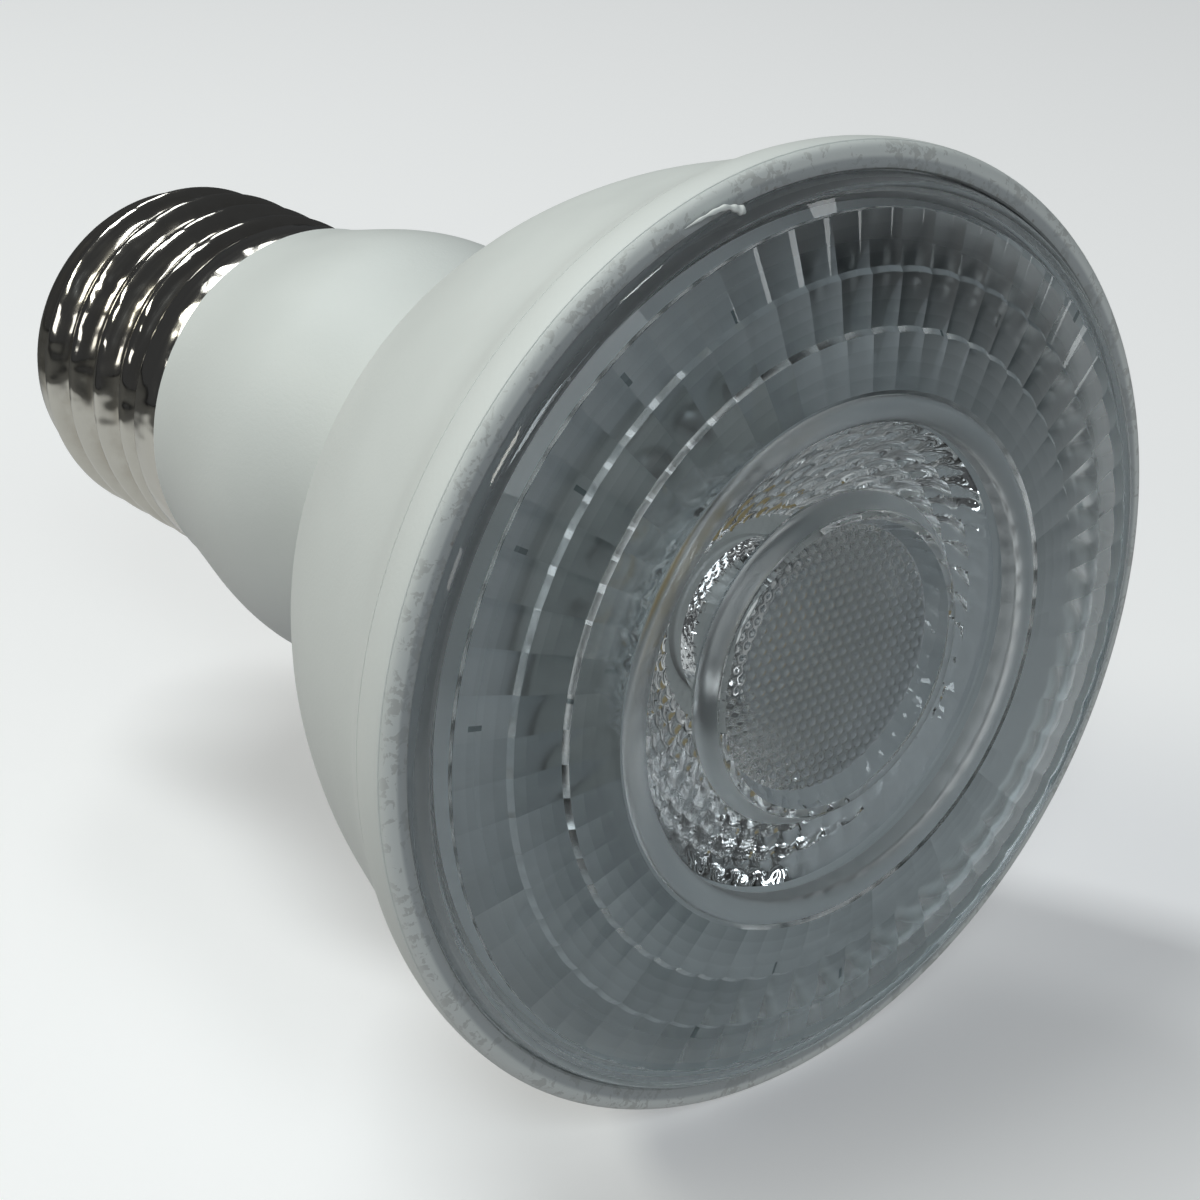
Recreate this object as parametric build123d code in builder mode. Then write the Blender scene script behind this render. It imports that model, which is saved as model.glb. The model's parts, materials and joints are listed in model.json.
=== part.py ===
# A small LED reflector lamp with an Edison screw cap.
# The lamp's axis is Y. The origin is the tip of the centre contact, and the lens faces -Y.
# "h" is the distance from the contact's tip along the axis towards the lens, in millimetres.
import os
from math import cos, pi, radians, sin

from build123d import *

# Overall sizes
overall_length = 84.0
rim_radius = 31.75
wall = 2.0
fit_gap = 0.1

# Screw cap
thread_pitch = 3.62
thread_crest_radius = 13.1
thread_depth = 1.0
thread_ridge_width = 3.1
thread_inset = 3.0
thread_runout = 0.58
shell_wall = 0.4
shell_end_h = 5.0
shell_mouth_lip = 0.5
shell_corner_radius = 2.2
skirt_length = 3.6
skirt_blend = 1.2
cap_length = 26.3

# Cap insulator and centre contact
insulator_tip_h = 1.0
insulator_tip_radius = 5.6
insulator_flange = 2.4
contact_radius = 4.8
contact_edge = 0.5
contact_stem_radius = 1.7
contact_stem_length = 2.0

# Housing outline, from the collar at the cap to the rim
# A lean is the growth of the radius for each millimetre of h
# An inset is how much smaller than the rim's a radius is
collar_step = 0.55
collar_lean = 0.15
collar_radius = 15.95
collar_below_waist = 10.0
waist_radius = 13.6
waist_below_rim = 32.05
waist_round = 4.0
waist_collar_angle = 18.0
waist_bell_angle = 56.0
shoulder_step = 7.1
shoulder_rise = 7.0
bell_inset = 7.35
bell_below_rim = 20.05
flank_inset = 4.85
flank_below_rim = 15.05
flare_inset = 3.2
flare_below_rim = 10.05
brim_inset = 1.95
brim_below_rim = 6.05
brim_lean = 0.4
parting_inset = 0.6
parting_below_rim = 3.45
parting_depth = 0.15
rim_below_lip = 3.75
rim_round = 0.8
rim_width = 1.75

# Housing inside: the spigot in the cap, and the seats of the heat sink and the lens
spigot_wall = 1.3
spigot_gap = 2.6
collar_bore_rise = 3.2
collar_bore_lean = 0.5
bell_bore_lean = 0.9
sink_seat_below_rim = 16.25
sink_seat_width = 2.0
lens_seat_below_rim = 2.85
lens_seat_width = 2.0

# Heat sink
sink_inset = 0.1
sink_plate = 2.5
sink_tube_radius = 11.9
sink_tube_wall = 1.6
sink_tube_below_waist = 3.7
sink_fillet = 3.0

# Driver sleeve and board
sleeve_wall = 0.9
sleeve_inset = 1.6
sleeve_sink_gap = 1.0
guide_depth = 1.2
guide_thickness = 0.8
board_thickness = 1.2
board_cap_inset = 4.0
board_sink_inset = 5.0

# Driver components
input_can_radius = 3.15
input_can_length = 11.0
output_can_radius = 2.5
output_can_length = 9.0
can_bead_radius = 0.4
can_bead_inset = 1.6
core_width = 7.6
core_length = 9.0
core_height = 5.6
core_leg = 1.8
winding_radius = 2.6
bobbin_flange = 0.6
film_width = 7.5
film_length = 4.5
film_height = 5.5
bridge_width = 4.7
bridge_length = 3.9
bridge_height = 2.4
chip_width = 3.9
chip_length = 4.9
chip_height = 1.5
diode_width = 2.6
diode_length = 4.4
diode_height = 2.2
choke_radius = 3.4
choke_height = 5.6
choke_flange = 0.8
fuse_radius = 1.4
fuse_length = 6.5
lead_width = 0.6
lead_thickness = 0.25
chip_taper = 3.0

# Wires
mains_wire_radius = 0.55
mains_wire_side = 5.2
mains_wire_landing = 6.0
led_wire_radius = 0.55
led_wire_rib_gap = 0.55
led_wire_landing = 4.0
led_wire_stand = 1.0
led_wire_pad_reach = 2.4

# Light source
led_board_radius = 13.0
led_board_thickness = 1.2
dam_radius = 5.4
dam_width = 0.8
dam_height = 0.6
phosphor_height = 0.45
screw_inset = 2.6
screw_radius = 1.2
screw_head_radius = 2.1
screw_head_height = 1.5
screw_slot_width = 0.5

# Lens: a depth is measured back from the top of the lip
facet_count = 60
facet_bulge = 0.35
facet_ledge = 0.3
field_inset = 1.8
field_depth = 2.25
ring_one_width = 3.3
ring_two_width = 3.5
ring_two_depth = 1.25
ring_three_depth = 0.6
lip_radius = 17.2
lip_width = 1.7
lip_height = 0.25
bead_inset = 0.7
bead_depth = 2.8
groove_depth = 0.35
lens_wall = 2.2
window_depth = 1.5
window_wall = 1.4
disc_radius = 9.9
disc_rim = 0.5
boss_slope = 1.1
disc_depth = 0.25
disc_recess = 1.4
cone_top_inset = 1.8
cone_end_radius = 7.2
cone_screw_gap = 0.2
cone_flute = 0.12
pocket_wall = 1.3
pocket_taper = 0.9
pocket_length = 6.1
pocket_dome = 1.2

# Worked out from the sizes above: the cap
thread_root_radius = thread_crest_radius - thread_depth
thread_start_h = shell_end_h + thread_inset
shell_bore_radius = thread_root_radius - shell_wall
shell_mouth_radius = thread_root_radius - shell_corner_radius - shell_mouth_lip
skirt_bore_radius = thread_crest_radius - shell_wall
skirt_start_h = cap_length - skirt_length
flange_h = shell_end_h + shell_wall
flange_end_h = flange_h + insulator_flange
spigot_end_h = flange_end_h + spigot_gap
spigot_bore_radius = shell_bore_radius - fit_gap - spigot_wall

# Worked out: the housing, from the rim back to the collar
rim_h = overall_length - rim_below_lip
parting_h = rim_h - parting_below_rim
parting_radius = rim_radius - parting_inset
brim_h = rim_h - brim_below_rim
brim_radius = rim_radius - brim_inset
flare_h = rim_h - flare_below_rim
flare_radius = rim_radius - flare_inset
flank_h = rim_h - flank_below_rim
flank_radius = rim_radius - flank_inset
bell_h = rim_h - bell_below_rim
bell_radius = rim_radius - bell_inset
waist_h = rim_h - waist_below_rim
shoulder_h = waist_h + shoulder_rise
shoulder_radius = waist_radius + shoulder_step
collar_h = waist_h - collar_below_waist
collar_end_radius = thread_crest_radius + collar_step
collar_bore_start_h = cap_length + collar_bore_rise

# Worked out: the heat sink, the light source and the driver
sink_seat_h = rim_h - sink_seat_below_rim
sink_front_h = sink_seat_h + sink_plate
sink_radius = bell_radius - sink_inset
sink_tube_end_h = waist_h - sink_tube_below_waist
sink_tube_bore_radius = sink_tube_radius - sink_tube_wall
led_face_h = sink_front_h + led_board_thickness
screw_circle_radius = led_board_radius - screw_inset
sleeve_radius = min(spigot_bore_radius, sink_tube_bore_radius) - fit_gap
sleeve_bore_radius = sleeve_radius - sleeve_wall
sleeve_start_h = spigot_end_h + sleeve_inset
sleeve_end_h = sink_seat_h - sleeve_sink_gap
board_half_width = sleeve_bore_radius - fit_gap
board_face = board_thickness / 2
board_start_h = sleeve_start_h + board_cap_inset
board_end_h = sleeve_end_h - board_sink_inset
mains_lift = board_face + mains_wire_radius + fit_gap
led_wire_side = sleeve_bore_radius - guide_depth - led_wire_radius - led_wire_rib_gap
led_wire_lift = board_face + led_wire_stand + led_wire_radius

# Worked out: the lens
lens_radius = rim_radius - rim_width - fit_gap
lens_seat_h = rim_h - lens_seat_below_rim
bead_radius = lens_radius - bead_inset
bead_h = overall_length - bead_depth
field_radius = lens_radius - field_inset
field_h = overall_length - field_depth
ring_two_radius = field_radius - ring_one_width
ring_two_h = overall_length - ring_two_depth
ring_three_radius = ring_two_radius - ring_two_width
ring_three_h = overall_length - ring_three_depth
lip_inner_radius = lip_radius - lip_width
window_h = overall_length - window_depth
disc_h = overall_length - disc_depth
cone_top_radius = lip_radius - cone_top_inset
cone_top_h = window_h - window_wall
cone_end_h = led_face_h + screw_head_height + cone_screw_gap
pocket_radius = cone_end_radius - pocket_wall
pocket_top_radius = pocket_radius - pocket_taper
pocket_h = cone_end_h + pocket_length

# The half plane of every turned outline: local x is the radius, local y is h
section = Plane(origin=(0, 0, 0), x_dir=(1, 0, 0), z_dir=(0, 0, -1))
# The two faces of the driver board: local y is h
board_top = Plane(origin=(0, 0, board_face), x_dir=(-1, 0, 0), z_dir=(0, 0, 1))
board_bottom = Plane(origin=(0, 0, -board_face), x_dir=(1, 0, 0), z_dir=(0, 0, -1))


def across(h):
    """The plane square to the axis at h, facing the lens: local x is X, local y is Z."""
    return Plane.XZ.offset(h)


def cap_radius(half_width, height):
    """The radius of the sphere whose cap has this half width and height."""
    return (half_width**2 + height**2) / (2 * height)


def lobed_outline(radius, bulge, plane):
    """A round sketch with one shallow bulge for each facet, which reaches the radius at its middle."""
    step = 2 * pi / facet_count
    valley = radius - bulge
    with BuildSketch(plane) as sketch:
        with BuildLine():
            for i in range(facet_count):
                start = (valley * cos(i * step), valley * sin(i * step))
                middle = (radius * cos((i + 0.5) * step), radius * sin((i + 0.5) * step))
                end = (valley * cos((i + 1) * step), valley * sin((i + 1) * step))
                ThreePointArc(start, middle, end)
        make_face()
    return sketch.sketch


# Screw shell: a formed cup with a rolled thread
with BuildPart() as thread_ridge:
    thread_height = skirt_start_h - thread_runout - thread_start_h
    with BuildLine() as thread_path:
        Helix(
            pitch=thread_pitch,
            height=thread_height,
            radius=thread_root_radius,
            center=(0, -thread_start_h, 0),
            direction=(0, -1, 0),
        )
    with BuildSketch(Plane(origin=thread_path.line @ 0, x_dir=(1, 0, 0), z_dir=thread_path.line % 0)):
        with BuildLine():
            crest = thread_crest_radius - thread_root_radius
            half_width = thread_ridge_width / 2
            ThreePointArc((0, -half_width), (crest, 0), (0, half_width))
            Line((0, half_width), (-shell_wall / 2, half_width))
            Line((-shell_wall / 2, half_width), (-shell_wall / 2, -half_width))
            Line((-shell_wall / 2, -half_width), (0, -half_width))
        make_face()
    sweep(path=thread_path.line, is_frenet=True)
    with BuildSketch(section):
        with BuildLine():
            Polyline(
                (shell_bore_radius, shell_end_h),
                (thread_root_radius, thread_start_h - half_width),
                (thread_crest_radius, thread_start_h + half_width),
                (thread_crest_radius, skirt_start_h),
                (skirt_bore_radius, skirt_start_h),
                (shell_bore_radius, skirt_start_h - skirt_blend),
                close=True,
            )
        make_face()
    revolve(axis=Axis.Y, mode=Mode.INTERSECT)

with BuildPart() as screw_shell:
    with BuildSketch(section):
        with BuildLine():
            Polyline(
                (shell_mouth_radius, shell_end_h + shell_wall),
                (shell_mouth_radius, shell_end_h),
                (thread_root_radius - shell_corner_radius, shell_end_h),
            )
            RadiusArc(
                (thread_root_radius - shell_corner_radius, shell_end_h),
                (thread_root_radius, shell_end_h + shell_corner_radius),
                -shell_corner_radius,
            )
            Polyline(
                (thread_root_radius, shell_end_h + shell_corner_radius),
                (thread_root_radius, skirt_start_h - skirt_blend),
                (thread_crest_radius, skirt_start_h),
                (thread_crest_radius, cap_length),
                (skirt_bore_radius, cap_length),
                (skirt_bore_radius, skirt_start_h),
                (shell_bore_radius, skirt_start_h - skirt_blend),
                (shell_bore_radius, shell_end_h + shell_corner_radius),
            )
            RadiusArc(
                (shell_bore_radius, shell_end_h + shell_corner_radius),
                (thread_root_radius - shell_corner_radius, shell_end_h + shell_wall),
                shell_corner_radius - shell_wall,
            )
            Line(
                (thread_root_radius - shell_corner_radius, shell_end_h + shell_wall),
                (shell_mouth_radius, shell_end_h + shell_wall),
            )
        make_face()
    revolve(axis=Axis.Y)
    add(thread_ridge.part)
screw_shell.part.label = "screw_shell"

# Cap insulator: a cone outside the shell and a flange inside it
with BuildPart() as cap_insulator:
    flange_radius = thread_root_radius - shell_corner_radius
    with BuildSketch(section):
        with BuildLine():
            Polyline(
                (contact_stem_radius + fit_gap, insulator_tip_h),
                (insulator_tip_radius, insulator_tip_h),
                (shell_mouth_radius - fit_gap, shell_end_h - shell_wall),
                (shell_mouth_radius - fit_gap, flange_h),
                (flange_radius, flange_h),
                (flange_radius, flange_end_h),
                (contact_stem_radius + fit_gap, flange_end_h),
                close=True,
            )
        make_face()
    revolve(axis=Axis.Y)
cap_insulator.part.label = "cap_insulator"

# Centre contact: a domed button with a stem through the insulator
with BuildPart() as centre_contact:
    with BuildSketch(section):
        with BuildLine():
            RadiusArc(
                (0, 0),
                (contact_radius, insulator_tip_h - contact_edge),
                -cap_radius(contact_radius, insulator_tip_h - contact_edge),
            )
            Polyline(
                (contact_radius, insulator_tip_h - contact_edge),
                (contact_radius, insulator_tip_h),
                (contact_stem_radius, insulator_tip_h),
                (contact_stem_radius, insulator_tip_h + contact_stem_length),
                (0, insulator_tip_h + contact_stem_length),
                (0, 0),
            )
        make_face()
    revolve(axis=Axis.Y)
centre_contact.part.label = "centre_contact"

# Housing: collar, waist, bell and rim in one moulding, with the spigot that carries the cap
collar_turn = radians(waist_collar_angle)
bell_turn = radians(waist_bell_angle)
waist_centre = waist_radius + waist_round
waist_start = (waist_centre - waist_round * cos(collar_turn), waist_h - waist_round * sin(collar_turn))
waist_end = (waist_centre - waist_round * cos(bell_turn), waist_h + waist_round * sin(bell_turn))
with BuildPart() as housing:
    with BuildSketch(section):
        with BuildLine():
            Line((0, cap_length), (collar_end_radius, cap_length))
            Spline(
                (collar_end_radius, cap_length),
                (collar_radius, collar_h),
                waist_start,
                tangents=((collar_lean, 1), (-sin(collar_turn), cos(collar_turn))),
            )
            ThreePointArc(waist_start, (waist_radius, waist_h), waist_end)
            Spline(
                waist_end,
                (shoulder_radius, shoulder_h),
                (bell_radius, bell_h),
                (flank_radius, flank_h),
                (flare_radius, flare_h),
                (brim_radius, brim_h),
                (parting_radius, parting_h),
                tangents=((sin(bell_turn), cos(bell_turn)), (brim_lean, 1)),
            )
            Line((parting_radius, parting_h), (parting_radius - parting_depth, parting_h + parting_depth))
            Line(
                (parting_radius - parting_depth, parting_h + parting_depth),
                (parting_radius + parting_depth, parting_h + 2 * parting_depth),
            )
            Spline(
                (parting_radius + parting_depth, parting_h + 2 * parting_depth),
                (rim_radius, rim_h - rim_round),
                tangents=((brim_lean, 1), (0, 1)),
            )
            RadiusArc((rim_radius, rim_h - rim_round), (rim_radius - rim_round, rim_h), -rim_round)
            Polyline((rim_radius - rim_round, rim_h), (0, rim_h), (0, cap_length))
        make_face()
    revolve(axis=Axis.Y)
    # The spigot that the shell is crimped on
    with BuildSketch(section):
        with BuildLine():
            Polyline(
                (0, spigot_end_h),
                (shell_bore_radius - fit_gap, spigot_end_h),
                (shell_bore_radius - fit_gap, skirt_start_h - skirt_blend),
                (skirt_bore_radius - fit_gap, skirt_start_h),
                (skirt_bore_radius - fit_gap, cap_length),
                (0, cap_length),
                close=True,
            )
        make_face()
    revolve(axis=Axis.Y)
    # The inside, from the spigot's bore to the seats of the heat sink and the lens
    sink_seat_radius = sink_radius + fit_gap
    with BuildSketch(section):
        with BuildLine():
            Polyline(
                (0, spigot_end_h),
                (spigot_bore_radius, spigot_end_h),
                (spigot_bore_radius, collar_bore_start_h),
            )
            Spline(
                (spigot_bore_radius, collar_bore_start_h),
                (collar_radius - wall, collar_h),
                (sink_tube_radius + fit_gap, sink_tube_end_h),
                tangents=((collar_bore_lean, 1), (-brim_lean, 1)),
            )
            Line(
                (sink_tube_radius + fit_gap, sink_tube_end_h),
                (sink_tube_radius + fit_gap, waist_h + wall),
            )
            Spline(
                (sink_tube_radius + fit_gap, waist_h + wall),
                (bell_radius - wall, bell_h),
                (sink_seat_radius - sink_seat_width, sink_seat_h),
                tangents=((bell_bore_lean, 1), (0, 1)),
            )
            Polyline(
                (sink_seat_radius - sink_seat_width, sink_seat_h),
                (sink_seat_radius, sink_seat_h),
                (sink_seat_radius, sink_front_h),
                (flare_radius - wall, flare_h),
                (lens_radius - lens_seat_width, lens_seat_h),
                (lens_radius + fit_gap, lens_seat_h),
                (lens_radius + fit_gap, rim_h),
                (0, rim_h),
                (0, spigot_end_h),
            )
        make_face()
    revolve(axis=Axis.Y, mode=Mode.SUBTRACT)
housing.part.label = "housing"

# Heat sink: a plate that closes a tube, drawn in one piece
with BuildPart() as heat_sink:
    with BuildSketch(section):
        with BuildLine():
            Polyline(
                (sink_tube_bore_radius, sink_tube_end_h),
                (sink_tube_radius, sink_tube_end_h),
                (sink_tube_radius, sink_seat_h),
                (sink_radius, sink_seat_h),
                (sink_radius, sink_front_h),
                (0, sink_front_h),
                (0, sink_seat_h),
                (sink_tube_bore_radius, sink_seat_h),
                close=True,
            )
        make_face()
    revolve(axis=Axis.Y)
    tube_root = heat_sink.edges().filter_by(GeomType.CIRCLE)
    tube_root = tube_root.filter_by(lambda e: abs(e.radius - sink_tube_radius) < fit_gap)
    fillet(tube_root.sort_by(Axis.Y)[0], radius=sink_fillet)
    with BuildSketch(across(sink_seat_h)):
        with Locations((led_wire_side, led_wire_lift), (-led_wire_side, led_wire_lift)):
            Circle(led_wire_radius + fit_gap)
        with PolarLocations(screw_circle_radius, 2, start_angle=90):
            Circle(screw_radius + fit_gap / 2)
    extrude(amount=sink_plate, mode=Mode.SUBTRACT)
heat_sink.part.label = "heat_sink"

# Driver sleeve: an insulating tube with two pairs of guide ribs for the board
with BuildPart() as driver_sleeve:
    with BuildSketch(across(sleeve_start_h)):
        Circle(sleeve_radius)
        Circle(sleeve_bore_radius, mode=Mode.SUBTRACT)
        guide_offset = board_face + fit_gap + guide_thickness / 2
        guide_middle = sleeve_bore_radius - guide_depth / 2
        with GridLocations(2 * guide_middle, 2 * guide_offset, 2, 2):
            Rectangle(guide_depth + sleeve_wall, guide_thickness)
    extrude(amount=sleeve_end_h - sleeve_start_h)
driver_sleeve.part.label = "driver_sleeve"

# Driver board
board_length = board_end_h - board_start_h
with BuildPart() as driver_board:
    with BuildSketch(across(board_start_h)):
        Rectangle(2 * board_half_width, board_thickness)
    extrude(amount=board_length)
    corner_edges = driver_board.edges().filter_by(Axis.Z)
    chamfer(corner_edges, length=board_thickness)
driver_board.part.label = "driver_board"


def spread(lengths):
    """The h at which each of a row of components starts, with equal gaps along the driver board."""
    gap = (board_length - sum(lengths)) / (len(lengths) + 1)
    return [board_start_h + gap * (i + 1) + sum(lengths[:i]) for i in range(len(lengths))]


# The cans and the transformer on the upper face, and the row on the lower face
input_can_h, core_h, output_can_h = spread((input_can_length, core_length, output_can_length))
lower_lengths = (film_length, 2 * fuse_radius, bridge_length, chip_length, diode_length, 2 * choke_radius)
lower_middles = [start + length / 2 for start, length in zip(spread(lower_lengths), lower_lengths)]
film_h, fuse_h, bridge_h, chip_h, diode_h, choke_h = lower_middles


def can(radius, length, h):
    """An electrolytic can that lies on the board along h, with a rolled bead near its open end."""
    with BuildPart() as piece:
        axis_lift = board_face + fit_gap + radius
        with BuildSketch(Plane(origin=(0, 0, axis_lift), x_dir=(1, 0, 0), z_dir=(0, 0, -1))):
            with BuildLine():
                bead_middle = h + length - can_bead_inset
                Polyline((0, h), (radius, h), (radius, bead_middle - can_bead_radius))
                ThreePointArc(
                    (radius, bead_middle - can_bead_radius),
                    (radius - can_bead_radius, bead_middle),
                    (radius, bead_middle + can_bead_radius),
                )
                Polyline(
                    (radius, bead_middle + can_bead_radius),
                    (radius, h + length),
                    (0, h + length),
                    (0, h),
                )
            make_face()
        revolve(axis=Axis((0, 0, axis_lift), (0, 1, 0)))
    return piece.part


with BuildPart() as input_capacitor:
    add(can(input_can_radius, input_can_length, input_can_h))
input_capacitor.part.label = "input_capacitor"

with BuildPart() as output_capacitor:
    add(can(output_can_radius, output_can_length, output_can_h))
output_capacitor.part.label = "output_capacitor"

# Transformer: a closed ferrite core, a bobbin on its middle leg and the winding on the bobbin
core_mid_h = core_h + core_length / 2
core_window = core_length - 2 * core_leg
core_mid_z = board_face + core_height / 2
with BuildPart() as transformer_core:
    with BuildSketch(board_top):
        with Locations((0, core_mid_h)):
            Rectangle(core_width, core_length)
    extrude(amount=core_height)
    with BuildSketch(board_top):
        with Locations((0, core_mid_h)):
            Rectangle(core_width - core_leg, core_window)
    extrude(amount=core_height, mode=Mode.SUBTRACT)
    with BuildSketch(across(core_h)):
        with Locations((0, core_mid_z)):
            Circle(core_leg / 2)
    extrude(amount=core_length)
transformer_core.part.label = "transformer_core"

with BuildPart() as transformer_bobbin:
    with BuildSketch(across(core_h + core_leg)):
        with Locations((0, core_mid_z)):
            Circle(winding_radius)
    extrude(amount=core_window)
    with BuildSketch(across(core_h + core_leg + bobbin_flange)):
        with Locations((0, core_mid_z)):
            Circle(winding_radius)
            Circle(core_leg / 2 + bobbin_flange, mode=Mode.SUBTRACT)
    extrude(amount=core_window - 2 * bobbin_flange, mode=Mode.SUBTRACT)
    with BuildSketch(across(core_h + core_leg)):
        with Locations((0, core_mid_z)):
            Circle(core_leg / 2 + fit_gap / 2)
    extrude(amount=core_window, mode=Mode.SUBTRACT)
transformer_bobbin.part.label = "transformer_bobbin"

with BuildPart() as transformer_winding:
    with BuildSketch(across(core_h + core_leg + bobbin_flange)):
        with Locations((0, core_mid_z)):
            Circle(winding_radius - fit_gap)
            Circle(core_leg / 2 + bobbin_flange, mode=Mode.SUBTRACT)
    extrude(amount=core_window - 2 * bobbin_flange)
transformer_winding.part.label = "transformer_winding"

# Components on the other face of the board
with BuildPart() as film_capacitor:
    with BuildSketch(board_bottom):
        with Locations((0, film_h)):
            RectangleRounded(film_width, film_length, lead_width)
    extrude(amount=film_height)
    fillet(film_capacitor.faces().sort_by(Axis.Z)[0].edges(), radius=lead_width)
film_capacitor.part.label = "film_capacitor"


def leaded_chip(width, length, height, h, lead_rows):
    """A moulded chip with flat leads along its two sides, standing on the board's lower face."""
    with BuildPart() as piece:
        with BuildSketch(board_bottom.offset(lead_thickness)):
            with Locations((0, h)):
                Rectangle(width, length)
        extrude(amount=height - lead_thickness, taper=chip_taper)
        with BuildSketch(board_bottom):
            with Locations((0, h)):
                with GridLocations(width, length / lead_rows, 2, lead_rows):
                    Rectangle(2 * lead_width, lead_width)
        extrude(amount=2 * lead_thickness)
    return piece.part


with BuildPart() as bridge_rectifier:
    add(leaded_chip(bridge_width, bridge_length, bridge_height, bridge_h, 2))
bridge_rectifier.part.label = "bridge_rectifier"

with BuildPart() as controller_chip:
    add(leaded_chip(chip_width, chip_length, chip_height, chip_h, 4))
controller_chip.part.label = "controller_chip"

with BuildPart() as output_diode:
    add(leaded_chip(diode_width, diode_length, diode_height, diode_h, 1))
output_diode.part.label = "output_diode"

with BuildPart() as choke:
    with BuildSketch(board_bottom):
        with Locations((0, choke_h)):
            Circle(choke_radius)
    extrude(amount=choke_height)
    with BuildSketch(board_bottom.offset(choke_flange)):
        with Locations((0, choke_h)):
            Circle(choke_radius)
            Circle(choke_radius - choke_flange, mode=Mode.SUBTRACT)
    extrude(amount=choke_height - 2 * choke_flange, mode=Mode.SUBTRACT)
choke.part.label = "choke"

with BuildPart() as fuse_resistor:
    fuse_plane = Plane.YZ.offset(-fuse_length / 2)
    with BuildSketch(fuse_plane):
        with Locations((-fuse_h, -(board_face + fit_gap + fuse_radius))):
            Circle(fuse_radius)
    extrude(amount=fuse_length)
    fillet(fuse_resistor.edges().filter_by(GeomType.CIRCLE), radius=fuse_radius / 2)
fuse_resistor.part.label = "fuse_resistor"


def wire(points, bend, radius):
    """A round wire along straight runs joined by arcs."""
    with BuildPart() as piece:
        with BuildLine() as route:
            FilletPolyline(*points, radius=bend)
        with BuildSketch(Plane(origin=route.line @ 0, z_dir=route.line % 0)):
            Circle(radius)
        sweep(path=route.line)
    return piece.part


# Mains wires: from the contact's stem and from the shell's wall to the board's upper face
stem_end_h = insulator_tip_h + contact_stem_length
mains_landing_h = board_start_h + mains_wire_landing
wire_gap_h = (flange_end_h + spigot_end_h) / 2
live_points = (
    (0, -stem_end_h, 0),
    (0, -wire_gap_h, 0),
    (-mains_wire_side, -board_start_h, mains_lift),
    (-mains_wire_side, -mains_landing_h, mains_lift),
)
with BuildPart() as live_wire:
    add(wire(live_points, 2 * mains_wire_radius, mains_wire_radius))
live_wire.part.label = "live_wire"

neutral_points = (
    (shell_bore_radius - mains_wire_radius, -wire_gap_h, mains_lift),
    (mains_wire_side, -wire_gap_h, mains_lift),
    (mains_wire_side, -mains_landing_h, mains_lift),
)
with BuildPart() as neutral_wire:
    add(wire(neutral_points, 3 * mains_wire_radius, mains_wire_radius))
neutral_wire.part.label = "neutral_wire"


def led_wire_points(side):
    """Up from the driver board, along it, through the heat sink and the led board, and over to a pad."""
    landing_h = board_end_h - led_wire_landing
    pad_lift = led_face_h + led_wire_radius
    return (
        (side, -landing_h, board_face),
        (side, -landing_h, led_wire_lift),
        (side, -pad_lift, led_wire_lift),
        (side, -pad_lift, led_wire_lift + led_wire_pad_reach),
    )


with BuildPart() as led_wire_positive:
    add(wire(led_wire_points(led_wire_side), 2 * led_wire_radius, led_wire_radius))
led_wire_positive.part.label = "led_wire_positive"

with BuildPart() as led_wire_negative:
    add(wire(led_wire_points(-led_wire_side), 2 * led_wire_radius, led_wire_radius))
led_wire_negative.part.label = "led_wire_negative"

# Light source: a round board, a dam ring and the phosphor inside it
with BuildPart() as led_board:
    with BuildSketch(across(sink_front_h)):
        Circle(led_board_radius)
        with Locations((led_wire_side, led_wire_lift), (-led_wire_side, led_wire_lift)):
            Circle(2 * led_wire_radius, mode=Mode.SUBTRACT)
        with PolarLocations(screw_circle_radius, 2, start_angle=90):
            Circle(screw_radius + fit_gap, mode=Mode.SUBTRACT)
    extrude(amount=led_board_thickness)
led_board.part.label = "led_board"

with BuildPart() as led_dam:
    with BuildSketch(across(led_face_h)):
        Circle(dam_radius)
        Circle(dam_radius - dam_width, mode=Mode.SUBTRACT)
    extrude(amount=dam_height)
    fillet(led_dam.faces().sort_by(Axis.Y)[0].edges(), radius=dam_height / 3)
led_dam.part.label = "led_dam"

with BuildPart() as led_phosphor:
    with BuildSketch(across(led_face_h)):
        Circle(dam_radius - dam_width)
    extrude(amount=phosphor_height)
led_phosphor.part.label = "led_phosphor"

# The two screws that hold the led board on the heat sink
with BuildPart() as board_screws:
    with BuildSketch(across(sink_seat_h + fit_gap)):
        with PolarLocations(screw_circle_radius, 2, start_angle=90):
            Circle(screw_radius)
    extrude(amount=sink_plate + led_board_thickness - fit_gap)
    with BuildSketch(across(led_face_h)):
        with PolarLocations(screw_circle_radius, 2, start_angle=90):
            Circle(screw_head_radius)
    extrude(amount=screw_head_height)
    head_faces = board_screws.faces().group_by(Axis.Y)[0]
    fillet(head_faces.edges(), radius=screw_head_height / 3)
    with BuildSketch(across(led_face_h + screw_head_height / 2)):
        with PolarLocations(screw_circle_radius, 2, start_angle=90):
            Rectangle(2 * screw_head_radius, screw_slot_width)
    extrude(amount=screw_head_height, mode=Mode.SUBTRACT)
board_screws.part.label = "board_screws"

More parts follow.
